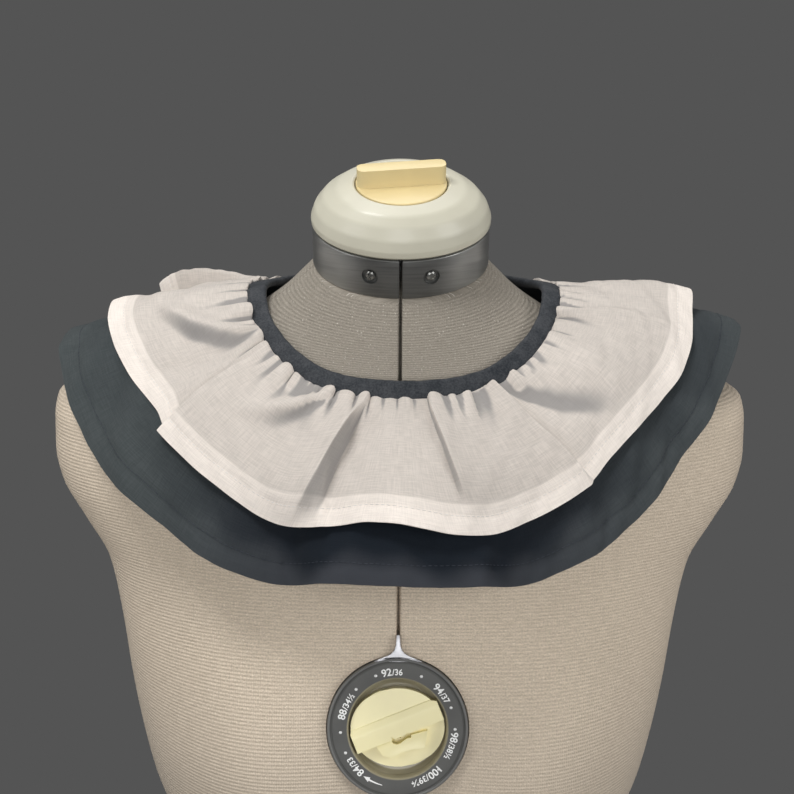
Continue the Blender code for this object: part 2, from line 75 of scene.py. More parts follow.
def readTable(names, rows, name, at, levelEnds=False):
    # value of one column at a key of the first column, on a smooth curve that doesn't overshoot
    keys = np.array([row[0] for row in rows], float)
    values = np.array([row[names.index(name)] for row in rows], float)
    spans = np.diff(keys)
    steps = np.diff(values) / spans
    inner = np.where(steps[:-1] * steps[1:] > 0,
                     2 * steps[:-1] * steps[1:] / (steps[:-1] + steps[1:] + 1e-12), 0)
    ends = (0, 0) if levelEnds else (steps[0], steps[-1])
    slopes = np.concatenate(([ends[0]], inner, [ends[1]]))
    at = np.clip(at, keys[0], keys[-1])
    i = np.clip(np.searchsorted(keys, at) - 1, 0, len(spans) - 1)
    u = (at - keys[i]) / spans[i]
    return (values[i] * (1 + 2 * u) * (1 - u) ** 2 + slopes[i] * spans[i] * u * (1 - u) ** 2
            + values[i + 1] * u ** 2 * (3 - 2 * u) + slopes[i + 1] * spans[i] * u ** 2 * (u - 1))


def stack(x, y, z):
    return np.stack(np.broadcast_arrays(x, y, z), axis=-1)


def unit(vectors):
    return vectors / np.maximum(np.linalg.norm(vectors, axis=-1, keepdims=True), 1e-12)


def ripples(a, b, seed, lengths, turn=(0, pi), count=9):
    # an uneven surface of height about 1: waves of several lengths and directions over a, b
    dice = np.random.default_rng(seed)
    total = 0 * a
    for _ in range(count):
        length = dice.uniform(*lengths)
        way = dice.uniform(*turn)
        total = total + np.cos(2 * pi * (a * cos(way) + b * sin(way)) / length + dice.uniform(0, 2 * pi))
    return total / count ** 0.5


# finishes and node trees: shader maths is written as plain expressions on node outputs

class Value:
    def __init__(self, tree, output):
        self.tree = tree
        self.output = output

    def math(self, operation, *values):
        return self.tree.add("ShaderNodeMath", {"operation": operation}, dict(enumerate(values)))

    def __add__(self, other):
        return self.math("ADD", self, other)

    def __sub__(self, other):
        return self.math("SUBTRACT", self, other)

    def __rsub__(self, other):
        return self.math("SUBTRACT", other, self)

    def __mul__(self, other):
        return self.math("MULTIPLY", self, other)

    def __truediv__(self, other):
        return self.math("DIVIDE", self, other)

    __radd__ = __add__
    __rmul__ = __mul__

    def sine(self):
        return self.math("SINE", self)

    def band(self, low, high):
        # 0 below low, 1 above high, smooth between
        return self.tree.add("ShaderNodeMapRange", {"interpolation_type": "SMOOTHSTEP"},
                             {"Value": self, "From Min": low, "From Max": high})


class Tree:
    def __init__(self, nodeTree):
        self.nodes = nodeTree.nodes
        self.links = nodeTree.links

    def add(self, kind, settings=None, sockets=None, out=0):
        node = self.nodes.new(kind)
        for name, value in (settings or {}).items():
            setattr(node, name, value)
        self.fill(node, sockets or {})
        return Value(self, node.outputs[out]) if node.outputs else node

    def fill(self, node, sockets):
        for key, value in sockets.items():
            if isinstance(value, Value):
                self.links.new(value.output, node.inputs[key])
            else:
                node.inputs[key].default_value = value


class Finish(Tree):
    def __init__(self, name):
        self.material = bpy.data.materials.new(name)
        self.material.use_nodes = True
        super().__init__(self.material.node_tree)
        self.shader = self.nodes["Principled BSDF"]

    def surface(self, **sockets):
        self.fill(self.shader, {name.replace("_", " "): value for name, value in sockets.items()})

    def mix(self, share, first, second):
        first, second = [(*c, 1) if isinstance(c, tuple) else c for c in (first, second)]
        return self.add("ShaderNodeMix", {"data_type": "RGBA"}, {0: share, 6: first, 7: second}, 2)

    def place(self, scale=(1, 1, 1), uv=None):
        # object or cloth coordinates, stretched
        source = (self.add("ShaderNodeUVMap", {"uv_map": uv}) if uv
                  else self.add("ShaderNodeTexCoord", out=3))
        return self.add("ShaderNodeMapping", sockets={"Vector": source, "Scale": scale})

    def split(self, vector, part):
        return self.add("ShaderNodeSeparateXYZ", sockets={0: vector}, out=part)

    def noise(self, vector, scale, detail=2.0, roughness=0.5):
        return self.add("ShaderNodeTexNoise", sockets={"Vector": vector, "Scale": scale,
                                                       "Detail": detail, "Roughness": roughness})

    def yarns(self, along, down, detail=2.0, roughness=0.5):
        # noise stretched along and down the cloth
        return self.noise(self.place((along, down, 1), "cloth"), 1.0, detail, roughness)

    def bump(self, height, distance, strength):
        return self.add("ShaderNodeBump", sockets={"Height": height, "Distance": distance,
                                                   "Strength": strength})

    def attribute(self, name):
        return self.add("ShaderNodeAttribute", {"attribute_name": name}, out=2)


class Maker(Tree):
    # a Geometry Nodes tree with named inputs
    def __init__(self, name, inputs):
        self.group = bpy.data.node_groups.new(name, "GeometryNodeTree")
        super().__init__(self.group)
        for label, kind in {"Geometry": "Geometry", **inputs}.items():
            self.group.interface.new_socket(label, in_out="INPUT", socket_type="NodeSocket" + kind)
        self.group.interface.new_socket("Geometry", in_out="OUTPUT", socket_type="NodeSocketGeometry")
        self.given = self.nodes.new("NodeGroupInput")
        self.up = self.add("GeometryNodeInputNamedAttribute", {"data_type": "FLOAT_VECTOR"},
                           {"Name": "up"})
        self.path = self.add("GeometryNodeMeshToCurve", sockets={0: self.input("Geometry")})

    def input(self, name):
        return Value(self, self.given.outputs[name])

    def close(self, geometry, material):
        real = self.add("GeometryNodeRealizeInstances", sockets={0: geometry})
        painted = self.add("GeometryNodeSetMaterial", sockets={"Geometry": real,
                                                               "Material": self.input(material)})
        self.add("NodeGroupOutput", sockets={0: painted})

    def run(self, name, paths, values):
        # the tree's plain result on paths of (points, ways up)
        edges = []
        begun = 0
        for points, _ in paths:
            edges += [(begun + k, begun + k + 1) for k in range(len(points) - 1)]
            begun += len(points)
        mesh = bpy.data.meshes.new(name)
        mesh.from_pydata(np.concatenate([points for points, _ in paths]).tolist(), edges, [])
        ways = np.concatenate([up for _, up in paths]).astype(np.float32)
        mesh.attributes.new("up", "FLOAT_VECTOR", "POINT").data.foreach_set("vector", ways.ravel())
        piece = makeObject(name, mesh)
        modifier = piece.modifiers.new(self.group.name, "NODES")
        modifier.node_group = self.group
        for item in self.group.interface.items_tree:
            if item.in_out == "INPUT" and item.name in values:
                modifier[item.identifier] = values[item.name]
        return applied(piece)


# making pieces

def meshFrom(name, points, faces, uvs=None):
    mesh = bpy.data.meshes.new(name)
    mesh.from_pydata(np.asarray(points, float).reshape(-1, 3).tolist(), [], faces)
    if uvs is not None:
        layer = mesh.uv_layers.new(name="cloth")
        corners = np.empty(len(mesh.loops), np.int32)
        mesh.loops.foreach_get("vertex_index", corners)
        layer.data.foreach_set("uv", np.asarray(uvs, np.float32)[corners].ravel())
    mesh.shade_smooth()
    return mesh


def makeObject(name, mesh):
    piece = bpy.data.objects.new(name, mesh)
    scene.collection.objects.link(piece)
    return piece


def faceOut(mesh):
    shape = bmesh.new()
    shape.from_mesh(mesh)
    bmesh.ops.remove_doubles(shape, verts=shape.verts, dist=1e-6)
    bmesh.ops.recalc_face_normals(shape, faces=shape.faces)
    shape.to_mesh(mesh)
    shape.free()


def applied(piece, sharp=None):
    # the piece with its modifiers worked in, as a plain mesh, and its tools thrown away
    tools = [modifier.object for modifier in piece.modifiers if modifier.type == "BOOLEAN"]
    depsgraph = bpy.context.evaluated_depsgraph_get()
    mesh = bpy.data.meshes.new_from_object(piece.evaluated_get(depsgraph), depsgraph=depsgraph)
    piece.modifiers.clear()
    piece.data = mesh
    mesh.shade_smooth()
    if sharp is not None:
        mesh.set_sharp_from_angle(angle=radians(sharp))
    for tool in tools:
        bpy.data.objects.remove(tool)
    return piece


def carve(piece, mesh, operation="DIFFERENCE"):
    # gives the tool back, so that it can still be turned
    modifier = piece.modifiers.new("carve", "BOOLEAN")
    modifier.operation = operation
    modifier.solver = "EXACT"
    modifier.object = makeObject("tool", mesh)
    return modifier.object


def soften(piece, width, segments=3, angle=35):
    modifier = piece.modifiers.new("soften", "BEVEL")
    modifier.width = width
    modifier.segments = segments
    modifier.limit_method = "ANGLE"
    modifier.angle_limit = radians(angle)


def finishPiece(piece, finish, body="root", nodes=()):
    piece.data.materials.clear()
    piece.data.materials.append(finish.material)
    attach(piece, body)
    if nodes:
        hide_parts(*nodes)
    return piece


def roundedPath(corners, steps=5):
    # corners are (x, y, radius); each corner with a radius becomes an arc
    path = []
    for i, (x, y, radius) in enumerate(corners):
        here = Vector((x, y))
        if radius <= 0 or i in (0, len(corners) - 1):
            path.append((x, y))
            continue
        back = (Vector(corners[i - 1][:2]) - here).normalized()
        on = (Vector(corners[i + 1][:2]) - here).normalized()
        half = back.angle(on) / 2
        reach = radius / tan(half)
        middle = here + (back + on).normalized() * (radius / sin(half))
        first = here + back * reach - middle
        last = here + on * reach - middle
        sweep = first.angle_signed(last)
        start = atan2(first.y, first.x)
        for k in range(steps + 1):
            turn = start - sweep * k / steps
            path.append((middle.x + radius * cos(turn), middle.y + radius * sin(turn)))
    return path


def gridFaces(index):
    return np.stack([index[:-1, :-1], index[1:, :-1], index[1:, 1:], index[:-1, 1:]],
                    axis=-1).reshape(-1, 4).tolist()


def tubeFaces(rings, count):
    # round a stack of closed rings, and over its two ends
    index = np.arange(rings * count).reshape(rings, count)
    return gridFaces(np.hstack([index, index[:, :1]]).T) + [index[0].tolist(), index[-1].tolist()]


def shellFaces(rows, columns):
    # an outer sheet, an inner one and the rim between them
    outer = np.arange(rows * columns).reshape(rows, columns)
    edge = np.concatenate([outer[0], outer[1:, -1], outer[-1, -2::-1], outer[-2::-1, 0]])
    rim = np.stack([edge, edge + outer.size], axis=1)
    return gridFaces(outer) + gridFaces(outer.T + outer.size) + gridFaces(rim)


def closedMesh(name, points, faces, uvs=None):
    mesh = meshFrom(name, points, faces, uvs)
    faceOut(mesh)
    return mesh


def turnedMesh(name, profile, segments, squeeze=None):
    # a profile of (radius, height) turned about Z
    turn = 2 * pi * np.arange(segments) / segments
    radius, height = np.array(profile, float).T[..., None]
    depth = squeeze(radius) if squeeze else 1.0
    points = stack(radius * np.cos(turn), radius * np.sin(turn) * depth, height)
    return closedMesh(name, points, tubeFaces(len(profile), segments))


def prismMesh(name, outline, bottom, top):
    points = [(x, y, z) for z in (bottom, top) for x, y in outline]
    return closedMesh(name, points, tubeFaces(2, len(outline)))


# how the collar lies: the same driving sizes as the solids

bustLevel = 0.48      # m above the floor
necklineLevel = 0.668
neckHalfWidth, neckFront, neckBack = 0.090, 0.073, 0.070
neckShift = 0.002      # the collar sits a little to the side
lieNames = ("direction", "rise", "binding", "whiteTop", "whiteHem", "navyTop", "navyHem")
lieRows = (
    (0,   0.0000, 66, 22, 54, 38, 56),
    (15,  0.0010, 62, 28, 62, 40, 62),
    (30,  0.0044, 56, 36, 67, 44, 73),
    (45,  0.0128, 46, 24, 65, 34, 73),
    (60,  0.0236, 34,  8, 60, 20, 66),
    (72,  0.0328, 24,  2, 50, 14, 55),
    (82,  0.0410, 14, -2, 38,  7, 39),
    (90,  0.0455, 10, -4, 27,  4, 27),
    (100, 0.0468, 10, -2, 16,  5, 18),
    (120, 0.0446, 18, 12, 34, 20, 40),
    (150, 0.0420, 35, 30, 56, 38, 60),
    (180, 0.0415, 45, 36, 60, 44, 64),
)


def lie(name, direction):
    return readTable(lieNames, lieRows, name, np.abs(direction), levelEnds=True)


def neckline(direction):
    # a point of the neckline, the level way out from it and the level way along it
    turn = np.radians(direction)
    depth = np.where(np.cos(turn) > 0, neckFront, neckBack)
    point = stack(neckShift + neckHalfWidth * np.sin(turn), -depth * np.cos(turn),
                  necklineLevel + lie("rise", direction))
    out = unit(stack(np.sin(turn) / neckHalfWidth, -np.cos(turn) / depth, 0 * turn))
    along = stack(-out[..., 1], out[..., 0], 0 * turn)
    return point, out, along


def slopePair(out, slope):
    # the ways down a slope, and square to it, outward and up
    slope = np.asarray(slope)[..., None]
    up = np.array([0.0, 0.0, 1.0])
    return np.cos(slope) * out - np.sin(slope) * up, np.sin(slope) * out + np.cos(slope) * up


# the two tiers

# A fold runs along a crest given by its direction at the neckline, half way down and at the hem.
# It rises from start to full and falls from fall to end, all as shares of the depth. Before and
# after are its half widths on the two sides of the crest, for which a small power makes the crest
# crisp. A ramp makes one side straight, after the crest or (negative) before it, and tells how much
# painted shade that side gets, or how much painted shade a valley gets.
foldNames = ("top", "middle", "hem", "start", "full", "fall", "end", "height", "before", "after",
             "lean", "power", "ramp")

whiteRuffle = {
    "name": "whiteRuffle", "node": "white_ruffle", "slot": "white_lawn", "lie": "white",
    "depth": 0.082, "side": 1, "spread": 0.0012, "tuck": 0.0022, "wall": 0.00045, "hem": 0.0100,
    "columns": 640, "rows": 64, "seed": 5,
    "gathers": {"spacing": 7.4, "low": 0.0018, "high": 0.0042, "shortest": 0.12, "longest": 0.46},
    "ripple": 0.00040, "pucker": 1, "paintedShadow": 0, "shaded": 0, "roll": 0.75, "turned": 0.0155,
    "puffs": (
        # tuck where it begins, height, share of the depth it runs, lean
        (-104,  0.0030, 0.18, -0.3), (-96.5, 0.0036, 0.20, 0.3), (-88,  0.0030, 0.15, -0.4),
        (-80.8, 0.0048, 0.26,  0.7), (-71.3, 0.0022, 0.12, 0.4), (-66.8, 0.0040, 0.21,  0.5),
        (-59,   0.0042, 0.20, -0.5), (-52,   0.0026, 0.09, 0.5), (-47.5, 0.0036, 0.21,  0.6),
        (-41,   0.0032, 0.22, -0.4), (-35.9, 0.0020, 0.09, 0.3), (-32.3, 0.0024, 0.11,  0.2),
        (-29.8, 0.0042, 0.18,  0.9), (-24,   0.0036, 0.21, 0.4), (-16.2, 0.0046, 0.15,  0.5),
        (-11.4, 0.0022, 0.10, -0.3), (-6.8,  0.0018, 0.08, 0.2), (-2.0,  0.0026, 0.11, -0.3),
        (3.4,   0.0008, 0.06,  0.0), (8.4,   0.0040, 0.21, -0.7), (14.5, 0.0026, 0.14, -0.2),
        (18.6,  0.0034, 0.17,  0.6), (23.2,  0.0004, 0.04, 0.0), (27.2,  0.0046, 0.21,  0.3),
        (34.2,  0.0004, 0.04,  0.0), (38.6,  0.0040, 0.12, -0.5), (43.5, 0.0024, 0.11,  0.3),
        (47.0,  0.0018, 0.09,  0.2), (52.5,  0.0024, 0.14, 0.4), (59.5,  0.0030, 0.20,  0.5),
        (66.0,  0.0024, 0.12, -0.4), (72.8,  0.0044, 0.21, -0.6), (79.5, 0.0034, 0.13,  0.5),
        (84.5,  0.0042, 0.11,  0.6), (89.0,  0.0030, 0.15, -0.3), (96.0, 0.0032, 0.18,  0.4),
        (103,   0.0026, 0.15, -0.4),
    ),
    "folds": (
        # top, middle, hem, start, full, fall, end, height, before, after, lean, power
        (-172, -171, -170, 0.00, 1.00, 1.00, 2.0, 0.0090, 0.012, 0.020, 0.6, 1.6),
        (-155, -154, -153, 0.00, 1.00, 1.00, 2.0, 0.0100, 0.020, 0.010, -0.9, 1.5),
        (-133, -135, -137, 0.00, 1.00, 1.00, 2.0, 0.0090, 0.022, 0.012, 0.6, 1.7),
        (-111, -116, -119.5, 0.00, 1.00, 1.00, 2.0, 0.0255, 0.017, 0.0050, 0.05, 1.8),
        (-98, -101, -106, 0.30, 0.75, 0.85, 1.4, -0.0070, 0.014, 0.016, 0.0, 2.0),
        (-66, -78.8, -128.5, 0.04, 0.24, 0.42, 0.72, 0.0060, 0.020, 0.0240, 0.2, 1.9, 0.95),
        (-62, -66, -74, 0.05, 0.40, 0.55, 1.1, -0.0036, 0.008, 0.020, 0.0, 1.6, 0.06),
        (-54.6, -55.4, -59, 0.06, 0.60, 0.90, 2.0, 0.0064, 0.0052, 0.026, -0.4, 1.25, -0.35),
        (-24, -45.5, -67, 0.12, 0.18, 0.26, 0.58, 0.0054, 0.014, 0.0270, 0.2, 1.9, 0.75),
        (-12.4, -19.6, -27, 0.14, 0.38, 0.76, 1.06, 0.0125, 0.032, 0.0152, 0.30, 1.2, 0.66),
        (-20, -20, -19, 0.55, 1.00, 1.00, 2.0, 0.0036, 0.026, 0.0040, 0.6, 1.5),
        (8.2, 11.9, 17, 0.00, 0.30, 0.60, 0.90, 0.0056, 0.0042, 0.026, -0.2, 1.25, -0.65),
        (29.5, 38, 44.8, 0.00, 0.26, 0.62, 1.35, 0.0066, 0.022, 0.0048, 0.3, 1.2, 0.6),
        (35, 50, 64, 0.12, 0.24, 0.46, 0.95, -0.0036, 0.011, 0.022, 0.0, 1.9, 0.85),
        (62, 62, 62, 0.05, 0.45, 0.55, 1.2, 0.0044, 0.020, 0.026, 0.0, 1.8),
        (73, 81, 84, 0.00, 0.40, 0.40, 1.5, 0.0045, 0.022, 0.009, 0.7, 1.4),
        (99, 100, 101, 0.10, 0.80, 0.80, 2.5, 0.0065, 0.022, 0.026, 0.0, 1.9),
        (118, 120, 121, 0.00, 1.00, 1.00, 2.0, 0.0090, 0.016, 0.012, 0.6, 1.6),
        (136, 137, 138, 0.00, 1.00, 1.00, 2.0, 0.0110, 0.012, 0.020, -0.8, 1.5),
        (158, 157, 156, 0.00, 1.00, 1.00, 2.0, 0.0095, 0.012, 0.018, -0.7, 1.6),
    ),
}

navyRuffle = {
    "name": "navyRuffle", "node": "navy_ruffle", "slot": "navy_cotton", "lie": "navy",
    "depth": 0.112, "side": -1, "spread": 0.0012, "tuck": 0.0022, "wall": 0.0005, "hem": 0.0110,
    "columns": 560, "rows": 60, "seed": 8,
    "gathers": {"spacing": 8.5, "low": -0.0010, "high": -0.0003, "shortest": 0.06, "longest": 0.15},
    "puffs": (), "paintedShadow": 0.091, "shaded": 0.016, "roll": 0, "turned": 0.0170,
    "ripple": 0.00080, "pucker": 4,
    "folds": (
        (-165, -164, -163, 0.30, 1.00, 1.00, 2.0, 0.0070, 0.018, 0.022, 0.3, 1.7),
        (-135, -136, -138, 0.50, 1.00, 1.00, 2.0, 0.0080, 0.018, 0.018, -0.4, 1.7),
        (-99, -100, -101, 0.05, 0.60, 1.00, 2.0, -0.0070, 0.022, 0.028, 0.0, 1.9),
        (-62, -64, -66, 0.55, 1.00, 1.00, 2.0, 0.0060, 0.038, 0.034, 0.0, 1.9),
        (-38, -39, -41, 0.45, 1.00, 1.00, 2.0, 0.0060, 0.022, 0.018, -0.4, 1.7),
        (-12, -13, -15, 0.50, 1.00, 1.00, 2.0, 0.0050, 0.018, 0.016, 0.3, 1.7),
        (14, 15, 17, 0.50, 1.00, 1.00, 2.0, 0.0040, 0.014, 0.016, 0.3, 1.7),
        (40, 42, 44, 0.45, 1.00, 1.00, 2.0, 0.0050, 0.018, 0.014, 0.4, 1.7),
        (68, 71, 74, 0.70, 1.00, 1.00, 2.0, 0.0040, 0.014, 0.012, -0.5, 1.7),
        (92, 92, 92, 0.66, 1.00, 1.00, 2.0, 0.0070, 0.018, 0.018, 0.0, 1.9),
        (114, 113, 112, 0.40, 1.00, 1.00, 2.0, 0.0050, 0.016, 0.018, -0.3, 1.7),
        (140, 141, 143, 0.50, 1.00, 1.00, 2.0, 0.0080, 0.020, 0.020, 0.4, 1.7),
        (168, 167, 166, 0.30, 1.00, 1.00, 2.0, 0.0060, 0.016, 0.016, -0.3, 1.7),
    ),
}

crispest = 1.85        # crests with a smaller power are crisp, and the columns follow them
backOpening = 0.5      # degrees from centre back to the end of a tier
crestLook = 0.010      # metres from a crest within which the columns stand closer


def crest(fold, share):
    return (fold["top"] * (1 - share) * (1 - 2 * share) + fold["middle"] * 4 * share * (1 - share)
            + fold["hem"] * share * (2 * share - 1))


def foldParts(fold, direction, share, radius):
    # metres from the crest, and how far the fold has grown there
    away = np.radians(direction - crest(fold, share)) * radius
    grown = ease((share - fold["start"] + 0.1) / (fold["full"] - fold["start"] + 0.1))
    spent = ease((share - fold["fall"]) / (fold["end"] - fold["fall"]))
    return away, grown * (1 - spent)


def foldShape(fold, away, share):
    # how high a fold stands across its crest, and which part of it gets painted shade
    width = np.where(away < 0, fold["before"], fold["after"]) * (0.35 + 0.65 * share)
    across = np.exp(-(np.abs(away) / width) ** fold["power"])
    if not fold["ramp"] or fold["height"] < 0:
        return across, across * across
    toward = away if fold["ramp"] > 0 else -away
    reach = fold["after" if fold["ramp"] > 0 else "before"] * (share + 0.04)
    straight = np.clip(1 - toward / reach, 0, 1)
    edge = 0.0008
    if fold["power"] > crispest:
        straight, edge = ease(straight), 0.0070
    paintedFoldShade = ease(toward / edge + 0.5) * ease((reach - toward) / edge / 1.6 + 0.5)
    return np.where(toward < 0, across, straight), paintedFoldShade


def foldLift(folds, direction, share, radius):
    lift = 0 * direction
    shift = 0 * direction
    paintedFoldShade = 0 * direction
    for row in folds:
        fold = dict(zip(foldNames, row + (0,)))
        away, strength = foldParts(fold, direction, share, radius)
        across, dark = foldShape(fold, away, share)
        rise = fold["height"] * strength * across
        lift = lift + rise
        shift = shift + fold["lean"] * rise
        # painted shade on the straight side of a fold, or in a valley
        paintedFoldShade = paintedFoldShade + abs(fold["ramp"]) * strength * dark
    return lift, shift, paintedFoldShade


def gatherLift(tier, direction, share):
    # rounded puffs between sharp tucks; they leave the seam at once and die away unevenly
    gathers = tier["gathers"]
    dice = np.random.default_rng(tier["seed"])
    rows = list(tier["puffs"])
    first, last = (rows[0][0], rows[-1][0]) if rows else (180.0, 180.0)
    here = -180.0
    while here < 180:
        if not first - 2 < here < last + 4:
            rows.append((here, dice.uniform(gathers["low"], gathers["high"]), gathers["shortest"]
                         + (gathers["longest"] - gathers["shortest"]) * dice.random() ** 2,
                         dice.uniform(-0.8, 0.8)))
        here += gathers["spacing"] * dice.uniform(0.45, 1.55)
    rows.append((180.0, 0, 0.1, 0))
    tucks, height, fade, lean = np.array(sorted(rows), float).T
    k = np.clip(np.searchsorted(tucks, direction) - 1, 0, len(tucks) - 2)
    across = np.clip((direction - tucks[k]) / (tucks[k + 1] - tucks[k]), 0, 1)
    rise = (height[k] * (1 - np.abs(2 * across - 1) ** 2.4) * np.exp(-(share / fade[k]) ** 1.5))
    clear = ease((share * tier["depth"] - 0.0016) / 0.0022)      # nothing lifts inside the binding
    return rise * clear, lean[k] * rise * clear


def tierPoints(tier, direction, share):
    # points of a tier's middle surface; share runs from 0 at the binding to 1 at the hem
    edge, out, along = neckline(direction)
    down, off = slopePair(out, np.radians(lie("binding", direction)))
    depth = tier["depth"]
    start = edge - down * tier["tuck"] + off * tier["side"] * tier["spread"] / 2
    top = np.radians(lie(tier["lie"] + "Top", direction))
    bend = np.radians(lie(tier["lie"] + "Hem", direction)) - top
    bend = np.where(np.abs(bend) < 1e-4, 1e-4, bend)
    slope = top + bend * share
    reach = depth * reachOf(tier["lie"], direction)
    run = reach / bend * (np.sin(slope) - np.sin(top))
    drop = reach / bend * (np.cos(top) - np.cos(slope))
    middle = start + out * run[..., None]
    middle[..., 2] -= drop
    radius = neckHalfWidth + 0.8 * share * depth
    lift, shift, _ = foldLift(tier["folds"], direction, share, radius)
    tuckLift, tuckShift = gatherLift(tier, direction, share)
    around = np.radians(direction) * radius
    calm = ease(share / 0.3)
    lift = lift + tuckLift + tier["ripple"] * calm * ripples(around, share * depth, tier["seed"] + 1,
                                                             (0.016, 0.050), (-0.5, 0.5))
    shift = shift + tuckShift
    back = tier["roll"] * tuckLift * np.exp(-(share * depth / 0.007) ** 2)   # puffs roll upward
    down, off = slopePair(out, slope)
    return middle + off * lift[..., None] + along * shift[..., None] - down * back[..., None]


reachNames = ("direction", "white", "navy")
reachRows = (
    (-180, 1.00, 1.00), (-92, 1.04, 1.04), (-75, 0.97, 1.04), (-65, 0.93, 1.05), (-59, 0.98, 1.05),
    (-45, 1.00, 1.04), (-30, 1.02, 1.01), (-17, 1.00, 0.98), (-9, 0.98, 0.98), (0, 1.02, 0.99),
    (11, 1.06, 0.99), (19, 1.05, 0.99), (31, 0.99, 1.00), (45, 0.98, 1.00), (53, 0.93, 1.00),
    (61, 0.92, 0.97), (69, 0.94, 0.93), (78, 0.98, 0.94), (92, 0.98, 0.97), (100, 1.02, 1.00),
    (180, 1.00, 1.00),
)


def reachOf(name, direction):
    return readTable(reachNames, reachRows, name, direction, levelEnds=True)


def tierGrid(tier):
    # columns follow the crisp crests, and stand closer beside them
    folds = [dict(zip(foldNames, row)) for row in tier["folds"]]
    folds = sorted((fold for fold in folds if fold["power"] < crispest and fold["start"] < 0.54),
                   key=lambda fold: fold["hem"])
    ends = 180 - backOpening
    fine = np.linspace(-ends, ends, 4001)
    weight = np.ones_like(fine)
    for fold in folds:
        weight += 2.2 * np.exp(-(np.radians(fine - fold["hem"]) * neckHalfWidth * 1.8 / crestLook) ** 2)
    total = np.concatenate(([0], np.cumsum((weight[1:] + weight[:-1]) / 2)))
    hem = np.interp(np.linspace(0, total[-1], tier["columns"] + 1), total, fine)
    rows = np.linspace(0, 1, tier["rows"] + 1) ** 1.25
    knots = np.array([-ends] + [fold["hem"] for fold in folds] + [ends])
    direction = []
    for share in rows:
        here = np.array([-ends] + [crest(fold, share) for fold in folds] + [ends])
        direction.append(np.interp(hem, knots, here))
    direction = np.array(direction)
    share = np.repeat(rows[:, None], len(hem), axis=1)
    return direction, share


def normalsOf(grid):
    down = np.gradient(grid, axis=0)
    across = np.gradient(grid, axis=1)
    return unit(np.cross(down, across))


def makeTier(tier, finish):
    direction, share = tierGrid(tier)
    middle = tierPoints(tier, direction, share)
    normals = normalsOf(middle)
    depth = tier["depth"]
    steps = np.linalg.norm(np.diff(middle[-1], axis=0), axis=1)
    length = float(steps.sum())
    along = np.repeat(np.concatenate(([0], np.cumsum(steps)))[None, :], len(share), axis=0)
    down = share * depth
    doubled = np.maximum(ease((down - depth + tier["turned"]) / 0.0006 + 1),
                         ease((tier["hem"] - np.minimum(along, length - along)) / 0.0006 + 1))
    wall = tier["wall"] * (1 + 0.9 * doubled)
    # the row of stitches draws the hem in
    seam = np.exp(-((down - depth + tier["hem"] - 0.0008) / (0.0008 + 0.0003 * tier["pucker"])) ** 2)
    pucker = 0.5 + 0.5 * ripples(along, down, tier["seed"] + 2, (0.004, 0.011), (-0.2, 0.2))
    middle = middle - normals * (seam * (0.00012 + 0.00022 * pucker) * tier["pucker"])[..., None]
    # painted shade: the cloth is darkened where it lies deep between its neighbours, and on the shaded
    # sides of the folds
    paintedShade = 0 * share      # how deep a point lies between its neighbours on either side
    for reach, full in ((2, 0.0005), (5, 0.0018)):
        sunk = (np.roll(middle, reach, 1) + np.roll(middle, -reach, 1)) / 2 - middle
        sunk[:, :reach] = 0
        sunk[:, -reach:] = 0
        paintedShade = paintedShade + 0.5 * np.clip((sunk * normals).sum(-1) / full, -1, 1)
    paintedShade = paintedShade * (0.15 + 1.6 * np.exp(-(share / 0.22) ** 2))
    paintedShade = paintedShade + foldLift(tier["folds"], direction, share, neckHalfWidth + 0.8 * down)[2]
    # painted shadow: the cloth is darkened where the upper tier's hem shades it
    paintedShadow = tier["paintedShadow"] * reachOf("white", direction) / reachOf("navy", direction)
    paintedShadow = paintedShadow + 0.005 * ripples(along, 0 * down, tier["seed"] + 4, (0.03, 0.11), (0, 0))
    paintedShadow = ease((paintedShadow + tier["shaded"] - down) / tier["shaded"]) if tier["paintedShadow"] else 0 * share
    # painted light: paler towards the shoulders, where more light falls, the more so on the wearer's
    # right
    paintedSideLight = ease((np.abs(direction) - 18) / 45) * np.where(direction < 0, 1, 0.8)
    paintedShadow = paintedShadow * (1 - 0.85 * paintedSideLight)
    half = normals * (wall / 2)[..., None]
    uvs = np.stack([along, down], axis=-1).reshape(-1, 2)
    mesh = meshFrom(tier["name"], np.stack([middle + half, middle - half]), shellFaces(*share.shape),
                    np.concatenate([uvs, uvs]))
    mesh.set_sharp_from_angle(angle=radians(60))
    for name, values in (("paintedShade", paintedShade), ("paintedShadow", paintedShadow), ("paintedSideLight", paintedSideLight)):
        layer = mesh.attributes.new(name, "FLOAT", "POINT")
        layer.data.foreach_set("value", np.tile(values.ravel(), 2).astype(np.float32))
    piece = finishPiece(makeObject(tier["name"], mesh), finish, nodes=[tier["node"]])
    print(tier["name"], "hem", round(length, 3), "m, faces", len(mesh.polygons))
    return piece, middle + half, normals, length, along, down


